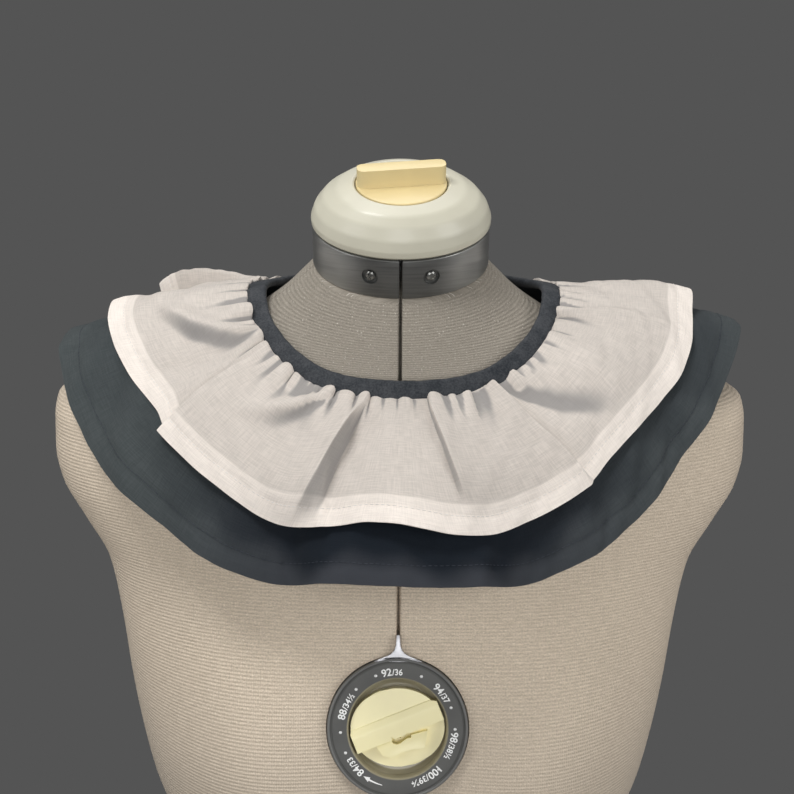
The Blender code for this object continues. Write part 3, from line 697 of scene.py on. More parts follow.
def clothFinish(name, tier, threads, roughness, sheen, colours):
    # a plain weave: threads both ways, thicker yarns here and there, and a paler doubled hem.
    # The colours are the deep and light of the cloth, the hem, the painted shade of the hollows, and the
    # pair painted paler where more light falls.
    finish = Finish(name)
    uv = finish.place(uv="cloth")
    down = finish.split(uv, 1)
    weave = (finish.split(uv, 0) * (2 * pi / threads)).sine() * (down * (2 * pi / threads)).sine()
    cloudy = finish.yarns(30, 30, 3.0)
    slubs = (finish.yarns(90, 1400) + finish.yarns(1400, 90) - 1.0) * 1.6
    turned = tier["depth"] - tier["turned"]
    stitched = tier["depth"] - tier["hem"]
    doubled = (down.band(turned - 0.0008, turned + 0.0008) * 0.7
               + down.band(stitched - 0.0004, stitched + 0.0004) * 0.3)
    shade = (slubs + (cloudy - 0.5) * 0.25 + 0.5).band(0.0, 1.0)
    colour = finish.mix(doubled * 0.95, finish.mix(shade, colours[0], colours[1]),
                        finish.mix(shade * 0.4 + 0.6, colours[1], colours[2]))
    # painted light: paler towards the shoulders
    if len(colours) > 4:
        colour = finish.mix(finish.attribute("paintedSideLight"), colour, finish.mix(shade, *colours[4:]))
    # painted shade in the hollows and on the shaded sides of the folds
    colour = finish.mix(finish.attribute("paintedShade").band(0.03, 0.9) * 0.8, colour, colours[3])
    # painted shadow under the upper tier
    colour = finish.mix(finish.attribute("paintedShadow") * 0.95, colour, colours[3])
    finish.surface(Base_Color=colour, Roughness=(cloudy * 0.10 + (roughness - 0.05)),
                   Normal=finish.bump(weave * 0.5 + slubs, threads * 0.35, 0.6),
                   Sheen_Weight=sheen, Sheen_Roughness=0.5, Specular_IOR_Level=0.25)
    return finish


# stitches: one Geometry Nodes tree lays small thread capsules along a path on the cloth

def stitchMaker():
    maker = Maker("stitchRow", {"Pitch": "Float", "Length": "Float", "Width": "Float",
                                "Height": "Float", "Thread": "Material"})
    points = maker.add("GeometryNodeResampleCurve", {"mode": "LENGTH"},
                       {"Curve": maker.path, "Length": maker.input("Pitch")})
    capsule = maker.add("GeometryNodeMeshUVSphere", sockets={"Segments": 6, "Rings": 5, "Radius": 0.5})
    size = maker.add("ShaderNodeCombineXYZ", sockets={0: maker.input("Length"), 1: maker.input("Width"),
                                                      2: maker.input("Height")})
    shape = maker.add("GeometryNodeTransform", sockets={"Geometry": capsule, "Scale": size})
    forward = maker.add("FunctionNodeAlignRotationToVector", {"axis": "X"},
                        {"Vector": maker.add("GeometryNodeInputTangent")})
    standing = maker.add("FunctionNodeAlignRotationToVector", {"axis": "Z", "pivot_axis": "X"},
                         {"Rotation": forward, "Vector": maker.up})
    row = maker.add("GeometryNodeInstanceOnPoints", sockets={"Points": points, "Instance": shape,
                                                             "Rotation": standing})
    maker.close(row, "Thread")
    return maker


def makeStitches(name, paths, sizes, finish):
    # sizes: pitch, length, width and height of a stitch
    values = dict(zip(("Pitch", "Length", "Width", "Height"), sizes))
    piece = stitchRow.run(name, paths, {**values, "Thread": finish.material})
    return finishPiece(piece, finish)


def hemRows(tier, made):
    # the row along the hem, and the two that hold the hems of the back opening
    _, outer, normals, length, along, down = made
    hem = tier["hem"]
    i = int(np.argmin(np.abs(down[:, 0] - (tier["depth"] - hem))))
    cuts = [(i, (along[i] > hem) & (along[i] < length - hem))]
    for goal in (hem, length - hem):
        j = int(np.argmin(np.abs(along[0] - goal)))
        cuts.append(((down[:, j] > 0.004) & (down[:, j] < tier["depth"] - hem), j))
    lifted = outer + normals * tier["wall"] * 0.25
    return [(lifted[cut], normals[cut]) for cut in cuts]


print("collar")
whiteLawn = clothFinish("whiteLawn", whiteRuffle, 0.00055, 0.88, 0.10,
                        ((0.567, 0.517, 0.468), (0.681, 0.618, 0.560), (0.97, 0.885, 0.805),
                         (0.26, 0.250, 0.245)))
navyCotton = clothFinish("navyCotton", navyRuffle, 0.00050, 0.92, 0.02,
                         ((0.030, 0.034, 0.043), (0.043, 0.046, 0.054), (0.040, 0.044, 0.053),
                          (0.004, 0.008, 0.014), (0.050, 0.060, 0.062), (0.066, 0.076, 0.078)))
whiteTier = makeTier(whiteRuffle, whiteLawn)
navyTier = makeTier(navyRuffle, navyCotton)


# the bias binding round the neck, folded over the gathered edges and swept along the neckline

neckBinding = {"width": 0.0110, "thickness": 0.0042, "wall": 0.0008, "lap": 9.0, "stepOut": 18.0,
               "stations": 520, "pucker": 0.00096, "bendSteps": 10, "topstitch": 0.0016}


def bindingRun(direction, across=0.0, above=0.0):
    # points of the binding: across from its middle line down the slope, above its middle layer
    wrapped = (direction + 180) % 360 - 180
    edge, out, _ = neckline(wrapped)
    down, off = slopePair(out, np.radians(lie("binding", wrapped)))
    over = ease((direction - 180) / neckBinding["stepOut"] + 1) * (neckBinding["thickness"] + 0.0004)
    back = across - neckBinding["width"] / 2 - 0.4 * over
    return edge + down * back[..., None] + off * (over + above)[..., None], off


def bindingSection():
    # outline of the folded strip: over the front, round the fold and down the back
    half = neckBinding["width"] / 2
    reach = (neckBinding["thickness"] - neckBinding["wall"]) / 2
    line = [(half, reach), (half - 0.002, reach * 1.06), (0, reach * 1.1), (-half + reach, reach)]
    for k in range(1, neckBinding["bendSteps"]):
        turn = pi / 2 + pi * k / neckBinding["bendSteps"]
        line.append((-half + reach + reach * cos(turn), reach * sin(turn)))
    line += [(-half + reach, -reach), (0, -reach), (half, -reach)]
    line = np.array(line)
    along = unit(np.gradient(line, axis=0))
    square = np.stack([along[:, 1], -along[:, 0]], axis=-1) * neckBinding["wall"] / 2
    return np.concatenate([line - square, (line + square)[::-1]])


def sweepMaker():
    # the strip puckers a little as it is swept
    maker = Maker("sweptStrip", {"Section": "Object", "Pucker": "Float", "Cloth": "Material"})
    facing = maker.add("GeometryNodeSetCurveNormal", {"mode": "FREE"},
                       {"Curve": maker.path, "Normal": maker.up})
    section = maker.add("GeometryNodeObjectInfo", sockets={"Object": maker.input("Section")},
                        out="Geometry")
    outline = maker.add("GeometryNodeMeshToCurve", sockets={0: section})
    swept = maker.add("GeometryNodeCurveToMesh", sockets={"Curve": facing, "Profile Curve": outline,
                                                          "Fill Caps": True})
    noise = maker.add("ShaderNodeTexNoise", sockets={"Scale": 170.0, "Detail": 1.0})
    offset = maker.add("ShaderNodeVectorMath", {"operation": "SCALE"},
                       {0: maker.add("GeometryNodeInputNormal"),
                        "Scale": (noise - 0.5) * maker.input("Pucker")})
    moved = maker.add("GeometryNodeSetPosition", sockets={"Geometry": swept, "Offset": offset})
    maker.close(moved, "Cloth")
    return maker


def makeBinding(finish):
    path, off = bindingRun(np.linspace(-180, 180 + neckBinding["lap"], neckBinding["stations"] + 1))
    outline = bindingSection().tolist()
    flat = bpy.data.meshes.new("bindingSection")
    flat.from_pydata([(y, x, 0) for x, y in outline],
                     [(k, (k + 1) % len(outline)) for k in range(len(outline))], [])
    section = makeObject("bindingSection", flat)
    piece = sweepMaker().run("neckBinding", [(path, off)],
                             {"Section": section, "Pucker": neckBinding["pucker"],
                              "Cloth": finish.material})
    bpy.data.objects.remove(section)
    faceOut(piece.data)
    piece.data.shade_smooth()
    piece.data.set_sharp_from_angle(angle=radians(70))
    length = float(np.linalg.norm(np.diff(path, axis=0), axis=1).sum())
    print("neckBinding length", round(length, 3), "m, faces", len(piece.data.polygons))
    return finishPiece(piece, finish, nodes=["neck_binding"]), length


def satinFinish(name, dark, light):
    # a closely woven satin with a mottled, slightly rubbed face
    finish = Finish(name)
    place = finish.place()
    mottled = finish.noise(place, 900.0, 3.0, 0.65)
    cloudy = finish.noise(place, 130.0, 2.0)
    shade = (mottled * 0.65 + cloudy * 0.35).band(0.34, 0.66)
    finish.surface(Base_Color=finish.mix(shade, dark, light), Roughness=mottled * 0.25 + 0.48,
                   Specular_IOR_Level=0.20, Sheen_Weight=0.05,
                   Normal=finish.bump(mottled, 0.0004, 0.6))
    return finish


def plasticFinish(name, colour, shade, roughness, grain=0.0, coat=0.0, metallic=0.0):
    # moulded plastic or painted metal: faint clouding of its colour and gloss, and a fine grain
    finish = Finish(name)
    place = finish.place()
    cloudy = finish.noise(place, 60.0, 2.0)
    fine = finish.noise(place, 600.0, 2.0)
    finish.surface(Base_Color=finish.mix(cloudy.band(0.3, 0.7), shade, colour),
                   Roughness=cloudy * 0.12 + (roughness - 0.06), Metallic=metallic,
                   Coat_Weight=coat, Coat_Roughness=0.12, Normal=finish.bump(fine, 0.0002, grain))
    return finish


blackSatin = satinFinish("blackSatin", (0.015, 0.019, 0.024), (0.052, 0.055, 0.061))
binding, bindingLength = makeBinding(blackSatin)


backButton = {"radius": 0.0055, "height": 0.0022, "offCentre": 4.0, "stand": 0.0073,
              "eye": 0.0006, "eyesApart": 0.0022,
              "profile": ((0.70, 0.0), (0.90, 0.08), (1.0, 0.38), (0.97, 0.72), (0.86, 0.98),
                          (0.78, 0.96), (0.70, 0.72), (0.55, 0.66))}


def frameAt(place, out):
    return Matrix.Translation(Vector(place)) @ Vector(out).to_track_quat("Z", "Y").to_matrix().to_4x4()


def makeButton(finish, thread):
    direction = np.array(180 + backButton["offCentre"] - 360.0)
    edge, out, _ = neckline(direction)
    down, off = slopePair(out, np.radians(lie("binding", direction)))
    frame = frameAt(edge - down * neckBinding["width"] / 2 + off * backButton["stand"], off)
    profile = [(backButton["radius"] * r, backButton["height"] * h) for r, h in backButton["profile"]]
    button = makeObject("backButton", turnedMesh("backButton", profile, 48))
    half = backButton["eyesApart"] / 2
    eyes = [(half, half), (-half, half), (-half, -half), (half, -half)]
    for x, y in eyes:
        eye = turnedMesh("eye", ((backButton["eye"], -0.001), (backButton["eye"], 0.004)), 16)
        eye.transform(Matrix.Translation((x, y, 0)))
        carve(button, eye)
    applied(button, 40)
    button.data.transform(frame)
    finishPiece(button, finish, nodes=["back_button"])
    cross = []
    for first, second in ((0, 2), (1, 3)):
        line = np.linspace(eyes[first], eyes[second], 7)
        rise = backButton["height"] * 0.66 + 0.0004 * np.sin(np.linspace(0, pi, 7)) - 0.0003
        local = [frame @ Vector((x, y, z)) for (x, y), z in zip(line, rise)]
        cross.append((np.array(local), np.tile(off, (7, 1))))
    makeStitches("buttonThread", cross, (0.0005, 0.0009, 0.0004, 0.0004), thread)


stitchRow = stitchMaker()
whiteThread = plasticFinish("whiteThread", (0.80, 0.76, 0.72), (0.66, 0.62, 0.59), 0.6)
navyThread = plasticFinish("navyThread", (0.030, 0.036, 0.050), (0.018, 0.024, 0.036), 0.6)
satinThread = plasticFinish("satinThread", (0.022, 0.026, 0.034), (0.014, 0.018, 0.026), 0.55)
buttonPlastic = plasticFinish("buttonPlastic", (0.035, 0.040, 0.050), (0.022, 0.026, 0.034), 0.25,
                              coat=0.4)
makeButton(buttonPlastic, satinThread)
hemStitch = (0.0031, 0.0025, 0.00042, 0.00034)
topStitch = (0.0029, 0.0023, 0.00042, 0.00034)
makeStitches("whiteStitches", hemRows(whiteRuffle, whiteTier), hemStitch, whiteThread)
makeStitches("navyStitches", hemRows(navyRuffle, navyTier), hemStitch, navyThread)
around = np.linspace(-179, 180 + neckBinding["lap"] - 1.0, 700)
edgeRun = bindingRun(around, 0 * around + neckBinding["width"] / 2 - neckBinding["topstitch"],
                     neckBinding["thickness"] / 2 + 0.0001)
makeStitches("bindingStitches", [edgeRun], topStitch, satinThread)
print("stitches")


# the dress form's jersey panels

neckTilt = radians(20.5)
capLevel, capDepth = 0.087, -0.003
capHalfWidth, capRatio = 0.0503, 0.874
bandHeight = 0.0240
neckTop = capLevel - capDepth * tan(neckTilt) - (bandHeight + 0.0003) / cos(neckTilt)

sectionNames = ("level", "halfWidth", "front", "back", "fullness", "tilt")
sections = (
    (-0.568, 0.1630, 0.1080, 0.1120, 2.40, 0.000),
    (-0.480, 0.1680, 0.1120, 0.1220, 2.40, 0.000),
    (-0.400, 0.1450, 0.1040, 0.1080, 2.30, 0.000),
    (-0.333, 0.1235, 0.0980, 0.0880, 2.20, 0.000),
    (-0.277, 0.1320, 0.1080, 0.0920, 2.30, 0.000),
    (-0.230, 0.1475, 0.1160, 0.0980, 2.35, 0.000),
    (-0.180, 0.1580, 0.1075, 0.1050, 2.40, 0.000),
    (-0.142, 0.1630, 0.1005, 0.1100, 2.50, 0.000),
    (-0.105, 0.1705, 0.0940, 0.1110, 2.50, 0.000),
    (-0.080, 0.1850, 0.0905, 0.1090, 2.45, 0.000),
    (-0.060, 0.1965, 0.0865, 0.1060, 2.40, 0.000),
    (-0.043, 0.2000, 0.0825, 0.1020, 2.35, 0.000),
    (-0.025, 0.2000, 0.0785, 0.0970, 2.25, 0.000),
    (-0.013, 0.1980, 0.0740, 0.0930, 2.05, 0.020),
    (-0.005, 0.1875, 0.0705, 0.0880, 1.90, 0.040),
    (0.004,  0.1660, 0.0670, 0.0780, 1.76, 0.080),
    (0.014,  0.1390, 0.0630, 0.0700, 1.65, 0.120),
    (0.024,  0.1110, 0.0585, 0.0620, 1.64, 0.170),
    (0.034,  0.0880, 0.0540, 0.0560, 1.70, 0.220),
    (0.045,  0.0695, 0.0490, 0.0510, 1.82, 0.280),
    (0.054,  0.0585, 0.0445, 0.0475, 1.95, 0.325),
    (neckTop, 0.0492, 0.0400, 0.0432, 2.00, tan(neckTilt)),
)
bust = {"apart": 0.084, "level": -0.205, "height": 0.016, "across": 0.050, "along": 0.060}
dressForm = {"slot": 0.0019, "slotDepth": 0.012, "gap": 0.0003, "rounding": 0.0013, "columns": 72,
             "sideSlot": 0.0004, "sideRounding": 0.0004,
             "cornerSteps": 5, "rowSpacing": 0.0050, "fineRows": 0.0016, "fineFrom": -0.03,
             "ribPitch": 0.00195}


def formLevels():
    low = np.arange(sections[0][0], dressForm["fineFrom"], dressForm["rowSpacing"])
    high = np.linspace(dressForm["fineFrom"], neckTop,
                       1 + round((neckTop - dressForm["fineFrom"]) / dressForm["fineRows"]))
    return np.concatenate([low, high])


def sectionSizes(levels):
    return {name: readTable(sectionNames, sections, name, levels) for name in sectionNames[1:]}


def panelPoints(side, front):
    # rings of one panel, each running from the centre slot round to the side slot, then inside
    levels = formLevels()
    size = sectionSizes(levels)
    depth = size["front"] if front else size["back"]
    power = 2 / size["fullness"]
    halfSlot, halfSide = dressForm["slot"] / 2, dressForm["sideSlot"] / 2
    edge = halfSlot + dressForm["rounding"]
    first = np.arcsin((edge / size["halfWidth"]) ** (1 / power))
    last = np.arccos(((halfSide + dressForm["sideRounding"]) / depth) ** (1 / power))
    turn = first[:, None] + (last - first)[:, None] * np.linspace(0, 1, dressForm["columns"] + 1)
    x = size["halfWidth"][:, None] * np.sin(turn) ** power[:, None]
    y = depth[:, None] * np.cos(turn) ** power[:, None]
    if front:
        bulge = bust["height"] * np.exp(-((x - bust["apart"]) / bust["across"]) ** 2
                                        - ((levels[:, None] - bust["level"]) / bust["along"]) ** 2)
        y = y + bulge * np.minimum(1, 2 * np.cos(turn))
    round0 = np.linspace(pi / 2, 0, dressForm["cornerSteps"])[:-1]
    cornerX = halfSlot + (x[:, :1] - halfSlot) * (1 - np.sin(round0))
    cornerY = y[:, :1] - dressForm["rounding"] * (1 - np.cos(round0))
    endX = x[:, -1:] - dressForm["sideRounding"] * (1 - np.cos(round0[::-1]))
    endY = halfSide + (y[:, -1:] - halfSide) * (1 - np.sin(round0[::-1]))
    inner = np.maximum(x[:, -1] - dressForm["slotDepth"], dressForm["slot"])
    floor = np.maximum(y[:, 0] - dressForm["slotDepth"], dressForm["slot"])
    gap = np.full(levels.shape, dressForm["gap"] / 2)
    half = np.full(levels.shape, halfSlot)
    insideX = np.stack([inner, inner, gap, gap, half], axis=-1)
    insideY = np.stack([np.full(levels.shape, halfSide), gap, gap, floor, floor], axis=-1)
    x = np.concatenate([cornerX, x, endX, insideX], axis=1)
    y = np.concatenate([cornerY, y, endY, insideY], axis=1)
    facing = -1 if front else 1
    z = necklineLevel + levels[:, None] + size["tilt"][:, None] * y * facing
    return np.stack([x * side, y * facing, z], axis=-1), levels, size


def makePanel(name, side, front):
    points, levels, size = panelPoints(side, front)
    rings, count = points.shape[:2]
    # cloth coordinates: the way round the form, and the way up its mean profile
    spread = (size["halfWidth"] + size["front"]) / 2
    climb = np.concatenate([[0], np.cumsum(np.hypot(np.diff(levels), np.diff(spread) * 0.75))])
    steps = np.linalg.norm(np.diff(points, axis=1, prepend=points[:, :1]), axis=2)
    uvs = np.stack([np.cumsum(steps, axis=1), np.repeat(climb[:, None], count, axis=1)], axis=-1)
    mesh = closedMesh(name, points, tubeFaces(rings, count), uvs.reshape(-1, 2))
    mesh.shade_smooth()
    mesh.set_sharp_from_angle(angle=radians(50))
    return makeObject(name, mesh)


def jerseyFinish():
    # level ribs of a fine knit, with the loops' uneven light and a little glitter, painted as pale
    # glints
    finish = Finish("beigeJersey")
    uv = finish.place(uv="cloth")
    around = finish.split(uv, 0)
    climb = finish.split(uv, 1)
    wander = finish.yarns(26, 90)
    rib = ((climb + (wander - 0.5) * 0.0005) * (2 * pi / dressForm["ribPitch"])).sine()
    loops = (around * (2 * pi / 0.0013) + rib * 0.8).sine()
    speckle = finish.yarns(900, 1300, roughness=0.6)
    broken = finish.yarns(160, 900)
    cloudy = finish.yarns(14, 14)
    shade = (rib * 0.11 * (broken + 0.4) + (speckle - 0.5) * 1.2 + (broken - 0.5) * 0.5
             + (cloudy - 0.5) * 0.15 + 0.5).band(0.0, 1.0)
    glintSpecks = speckle.band(0.66, 0.74)
    colour = finish.mix(shade, (0.475, 0.394, 0.302), (0.860, 0.732, 0.583))
    # darker round the neck
    climbed = finish.split(finish.place(), 2)
    nearNeck = climbed.band(necklineLevel - 0.020, necklineLevel + 0.010)
    colour = finish.mix(nearNeck, colour, finish.mix(shade, (0.200, 0.177, 0.146), (0.365, 0.328, 0.274)))
    # painted shade: darker below the bust, which overhangs the body there
    paintedShadeBelowBust = 1.0 - climbed.band(bustLevel - 0.07, bustLevel + 0.05)
    colour = finish.mix(paintedShadeBelowBust * 0.48, colour, (0.40, 0.35, 0.29))
    # painted glints: pale specks in the colour, which are also less rough
    colour = finish.mix(glintSpecks * 0.7, colour, (0.95, 0.90, 0.81))
    height = rib * 0.5 + loops * 0.15 + speckle * 0.5
    finish.surface(Base_Color=colour, Roughness=(1.0 - glintSpecks) * 0.35 + 0.45,
                   Normal=finish.bump(height, 0.0006, 0.42), Sheen_Weight=0.03,
                   Sheen_Roughness=0.4, Specular_IOR_Level=0.3)
    return finish


neckFrame = (Matrix.Translation((0, capDepth, necklineLevel + capLevel))
             @ Matrix.Rotation(neckTilt, 4, "X"))
dialRing = {"radius": 0.0384, "level": -0.1735, "depth": -0.1112, "tilt": radians(15),
            "clearance": 0.0006,
            "profile": ((0.0384, -0.0140, 0), (0.0384, 0.0014, 0.0006), (0.0379, 0.0025, 0.0004),
                        (0.0372, 0.0027, 0.0004), (0.0362, 0.0017, 0.0004), (0.0354, 0.0019, 0.0004),
                        (0.0275, 0.0019, 0.0005), (0.0268, 0.0008, 0.0006), (0.0263, -0.0065, 0.0010),
                        (0.0240, -0.0085, 0.0015), (0.0100, -0.0086, 0))}
dialFrame = (Matrix.Translation((0, dialRing["depth"], necklineLevel + dialRing["level"]))
             @ Matrix.Rotation(pi / 2 - dialRing["tilt"], 4, "X"))

jersey = jerseyFinish()
pocketRadius = dialRing["radius"] + dialRing["clearance"]
pocket = turnedMesh("pocket", ((pocketRadius, -0.0145), (pocketRadius, 0.0400)), 96)
pocket.transform(dialFrame)
for side, sideName in ((1, "Left"), (-1, "Right")):
    panel = makePanel("formFront" + sideName, side, True)
    carve(panel, pocket)
    applied(panel, 50)
    finishPiece(panel, jersey, nodes=["form_front_" + sideName.lower()])
    panel = makePanel("formBack" + sideName, side, False)
    finishPiece(panel, jersey, nodes=["form_back_" + sideName.lower()])
print("jersey panels")


# the neck's band, screws, cap and knob

neckBand = {"split": 0.0016, "segments": 72, "bevel": 0.0007,
            "screw": {"across": 0.0172, "below": 0.0112, "radius": 0.0028, "recess": 0.0047,
                      "deep": 0.0026, "slot": 0.0007}}
neckCap = {"segments": 128,
           "profile": ((0.0488, 0.0003, 0), (0.0508, 0.0018, 0.0008), (0.0510, 0.0050, 0.004),
                       (0.0489, 0.0115, 0.010), (0.0441, 0.0178, 0.010), (0.0365, 0.0226, 0.016),
                       (0.0276, 0.0256, 0.0010), (0.0264, 0.0250, 0.0005), (0.0262, 0.0212, 0))}
neckKnob = {"radius": 0.0256, "bottom": 0.0215, "top": 0.0256, "length": 0.0500, "width": 0.0110,
            "height": 0.0105, "turn": radians(9), "bevel": 0.0009}


def ellipseOut(x):
    # a point of the band's front half, and the way out there
    depth = capHalfWidth * capRatio
    y = -depth * (1 - (x / capHalfWidth) ** 2) ** 0.5
    return Vector((x, y, 0)), Vector((x / capHalfWidth ** 2, y / depth ** 2, 0)).normalized()


def makeBand(side, sideName, finish, screwFinish):
    start = neckBand["split"] / 2 / capHalfWidth
    turns = np.linspace(-pi / 2 + start, pi / 2 - start, neckBand["segments"] + 1)
    outline = [(side * capHalfWidth * cos(turn), capHalfWidth * capRatio * sin(turn))
               for turn in turns]
    name = "neckBand" + sideName
    band = makeObject(name, prismMesh(name, outline, -bandHeight, 0))
    screw = neckBand["screw"]
    place, out = ellipseOut(side * screw["across"])
    place.z = -screw["below"]
    frame = frameAt(place, out)
    recess = turnedMesh("recess", ((screw["recess"], -screw["deep"]), (screw["recess"], 0.01)), 40)
    recess.transform(frame)
    soften(band, neckBand["bevel"])
    carve(band, recess)
    applied(band, 35)
    band.data.transform(neckFrame)
    finishPiece(band, finish, nodes=["neck_band_" + sideName.lower()])

    profile = roundedPath(((screw["radius"], -screw["deep"] + 0.0002, 0), (screw["radius"], -0.0008, 0),
                           (screw["radius"] * 0.75, -0.0002, 0.0006), (0.0002, 0.0, 0)))
    name = "bandScrew" + sideName
    head = makeObject(name, turnedMesh(name, profile, 40))
    reach, half = screw["radius"] * 0.72, screw["slot"] / 2
    corners = ((-reach, -half), (reach, -half), (reach, half), (-reach, half))
    for turn in (28, 118):
        carve(head, prismMesh("slot", corners, -0.0010, 0.004)).rotation_euler.z = radians(turn)
    bpy.context.view_layer.update()
    applied(head, 35)
    head.data.transform(neckFrame @ frame)
    finishPiece(head, screwFinish, nodes=["band_screw_" + sideName.lower()])


def capSqueeze(radius):
    inner = neckKnob["radius"] + 0.002
    return 1 - (1 - capRatio) * ease((radius - inner) / (capHalfWidth - inner))


def makeNeckKnob(finish):
    size = neckKnob
    frame = neckFrame @ Matrix.Rotation(size["turn"], 4, "Z")
    disc = roundedPath(((size["radius"], size["bottom"], 0), (size["radius"], size["top"], 0.0008),
                        (0.0005, size["top"], 0)))
    knob = makeObject("neckKnob", turnedMesh("neckKnob", disc, 96))
    x = size["length"] / 2
    y = size["width"] / 2
    outline = roundedPath([(x, 0, 0), (x, y, y * 0.75), (-x, y, y * 0.75), (-x, -y, y * 0.75),
                           (x, -y, y * 0.75), (x, 0, 0)], 7)[:-1]
    bar = prismMesh("bar", outline, size["bottom"] + 0.002, size["top"] + size["height"])
    # the grip is a little narrower at its top
    for vertex in bar.vertices:
        if vertex.co.z > size["top"]:
            vertex.co.y *= 0.86
    carve(knob, bar, "UNION")
    soften(knob, size["bevel"], 4)
    applied(knob, 40)
    knob.data.transform(frame)
    finishPiece(knob, finish, "neck_adjuster", nodes=["neck_knob"])


def steelFinish():
    # dark metal with faint streaks round the band, and painted reflections towards its sides
    finish = Finish("darkSteel")
    streaks = finish.noise(finish.place((30, 30, 900)), 1.0, 3.0)
    cloudy = finish.noise(finish.place(), 35.0, 2.0)
    # painted reflection: brighter towards the band's sides, and dull again at its very edges
    across = finish.split(finish.place(), 0) / capHalfWidth
    across = across * across
    paintedSideReflection = across.band(0.06, 0.50) * (1.0 - across.band(0.70, 0.95) * 0.7)
    shade = streaks * 0.6 + cloudy * 0.4
    colour = finish.mix(paintedSideReflection, finish.mix(shade, (0.060, 0.062, 0.060), (0.27, 0.27, 0.26)),
                        finish.mix(shade, (0.22, 0.22, 0.215), (0.56, 0.56, 0.54)))
    finish.surface(Base_Color=colour, Metallic=0.75, Roughness=streaks * 0.25 + 0.30,
                   Normal=finish.bump(streaks, 0.0002, 0.25))
    return finish


darkSteel = steelFinish()
screwSteel = plasticFinish("screwSteel", (0.40, 0.40, 0.38), (0.20, 0.20, 0.19), 0.28, metallic=0.9)
palePlastic = plasticFinish("palePlastic", (0.625, 0.600, 0.485), (0.600, 0.575, 0.465), 0.42, 0.02,
                            coat=0.12)
# the knobs' cream plastic, painted darker for the neck knob, which gets more light
creamPaintedDarker = plasticFinish("creamPaintedDarker", (0.76, 0.620, 0.320), (0.73, 0.590, 0.305), 0.38, 0.05,
                             coat=0.15)
for side, sideName in ((1, "Left"), (-1, "Right")):
    makeBand(side, sideName, darkSteel, screwSteel)
cap = makeObject("neckCap", turnedMesh("neckCap", roundedPath(neckCap["profile"], 8),
                                       neckCap["segments"], capSqueeze))
cap.data.set_sharp_from_angle(angle=radians(40))
cap.data.transform(neckFrame)
finishPiece(cap, palePlastic, nodes=["neck_cap"])
makeNeckKnob(creamPaintedDarker)
print("neck")


# the bust dial: ring, print, knob and trim

dialKnob = {"radius": 0.0256, "flat": 0.0216, "bottom": -0.0083, "floor": -0.0044, "plateau": -0.0004,
            "ridge": 0.0009, "edge": 0.0003, "length": 0.0505, "turn": radians(22),
            "plateauFrom": 0.0076, "ridgeAt": 0.0032, "edgeAt": -0.0049}
dialPrint = {"radius": 0.0311, "large": 0.0056, "small": 0.0046, "level": 0.00195, "thick": 0.00012}
dialNumbers = (   # clock angle, centimetres, inches
    (354, "92", "/36"), (51, "94", "/37"), (107, "98", "/38½"), (148, "100", "/39⅜"),
    (228, "84", "/33"), (293, "88", "/34½"),
)
dialDots = (337, 24, 68, 90, 134, 245, 266, 313)


def textMesh(text, size):
    curve = bpy.data.curves.new("text", "FONT")
    curve.body = text
    curve.size = size
    curve.extrude = dialPrint["thick"] / 2
    curve.offset = size * 0.018
    holder = makeObject("text", curve)
    bpy.context.view_layer.update()
    depsgraph = bpy.context.evaluated_depsgraph_get()
    mesh = bpy.data.meshes.new_from_object(holder.evaluated_get(depsgraph))
    bpy.data.objects.remove(holder)
    return mesh


def makePrint(finish):
    # the numbers stand round the ring with their tops outward
    shape = bmesh.new()
    for clock, large, small in dialNumbers:
        parts = [textMesh(large, dialPrint["large"]), textMesh(small, dialPrint["small"])]
        widths = [max(v.co.x for v in part.vertices) for part in parts]
        total = sum(widths) + 0.0003
        begun = -total / 2
        for part, width in zip(parts, widths):
            # each glyph point is bent onto the print's circle
            for vertex in part.vertices:
                turn = (begun + vertex.co.x) / dialPrint["radius"]
                out = dialPrint["radius"] + vertex.co.y - dialPrint["large"] * 0.35
                angle = pi / 2 - radians(clock) - turn
                vertex.co = (out * cos(angle), out * sin(angle), dialPrint["level"] + vertex.co.z)
            shape.from_mesh(part)
            begun += width + 0.0003
    mesh = bpy.data.meshes.new("dialPrint")
    bmesh.ops.recalc_face_normals(shape, faces=shape.faces)
    shape.to_mesh(mesh)
    shape.free()
    mesh.transform(dialFrame)
    return finishPiece(makeObject("dialNumbers", mesh), finish)


def makeArrow(finish):
    # a curved arrow from the lowest number towards the next
    path = ((195, 0.0002), (200, 0.0003), (205, 0.0004), (209, 0.0005), (209, 0.0014),
            (215.5, 0.00002))      # clock angle and half width
    middle = dialPrint["radius"] + 0.0004
    outline = [(middle + half, clock) for clock, half in path]
    outline += [(middle - half, clock) for clock, half in reversed(path)]
    points = [(r * cos(pi / 2 - radians(c)), r * sin(pi / 2 - radians(c))) for r, c in outline]
    mesh = prismMesh("dialArrow", points, dialPrint["level"] - 0.00006, dialPrint["level"] + 0.00006)
    mesh.transform(dialFrame)
    mesh.shade_flat()
    return finishPiece(makeObject("dialArrow", mesh), finish)


def makeDots(finish):
    angles = pi / 2 - np.radians(np.array(dialDots, float))
    lift = dialPrint["level"] - 0.00005
    points = [dialFrame @ Vector((dialPrint["radius"] * cos(a), dialPrint["radius"] * sin(a), lift))
              for a in angles]
    out = np.array(dialFrame.to_3x3() @ Vector((0, 0, 1)))
    side = dialFrame.to_3x3() @ Vector((0.0001, 0, 0))
    paths = [(np.array([point, point + side]), np.tile(out, (2, 1))) for point in points]
    return makeStitches("dialDots", paths, (0.0002, 0.0018, 0.0018, 0.0004), finish)


def knobPoint(along, across):
    # from the bar's own directions to the dial's
    return Matrix.Rotation(dialKnob["turn"], 2) @ Vector((along, across))


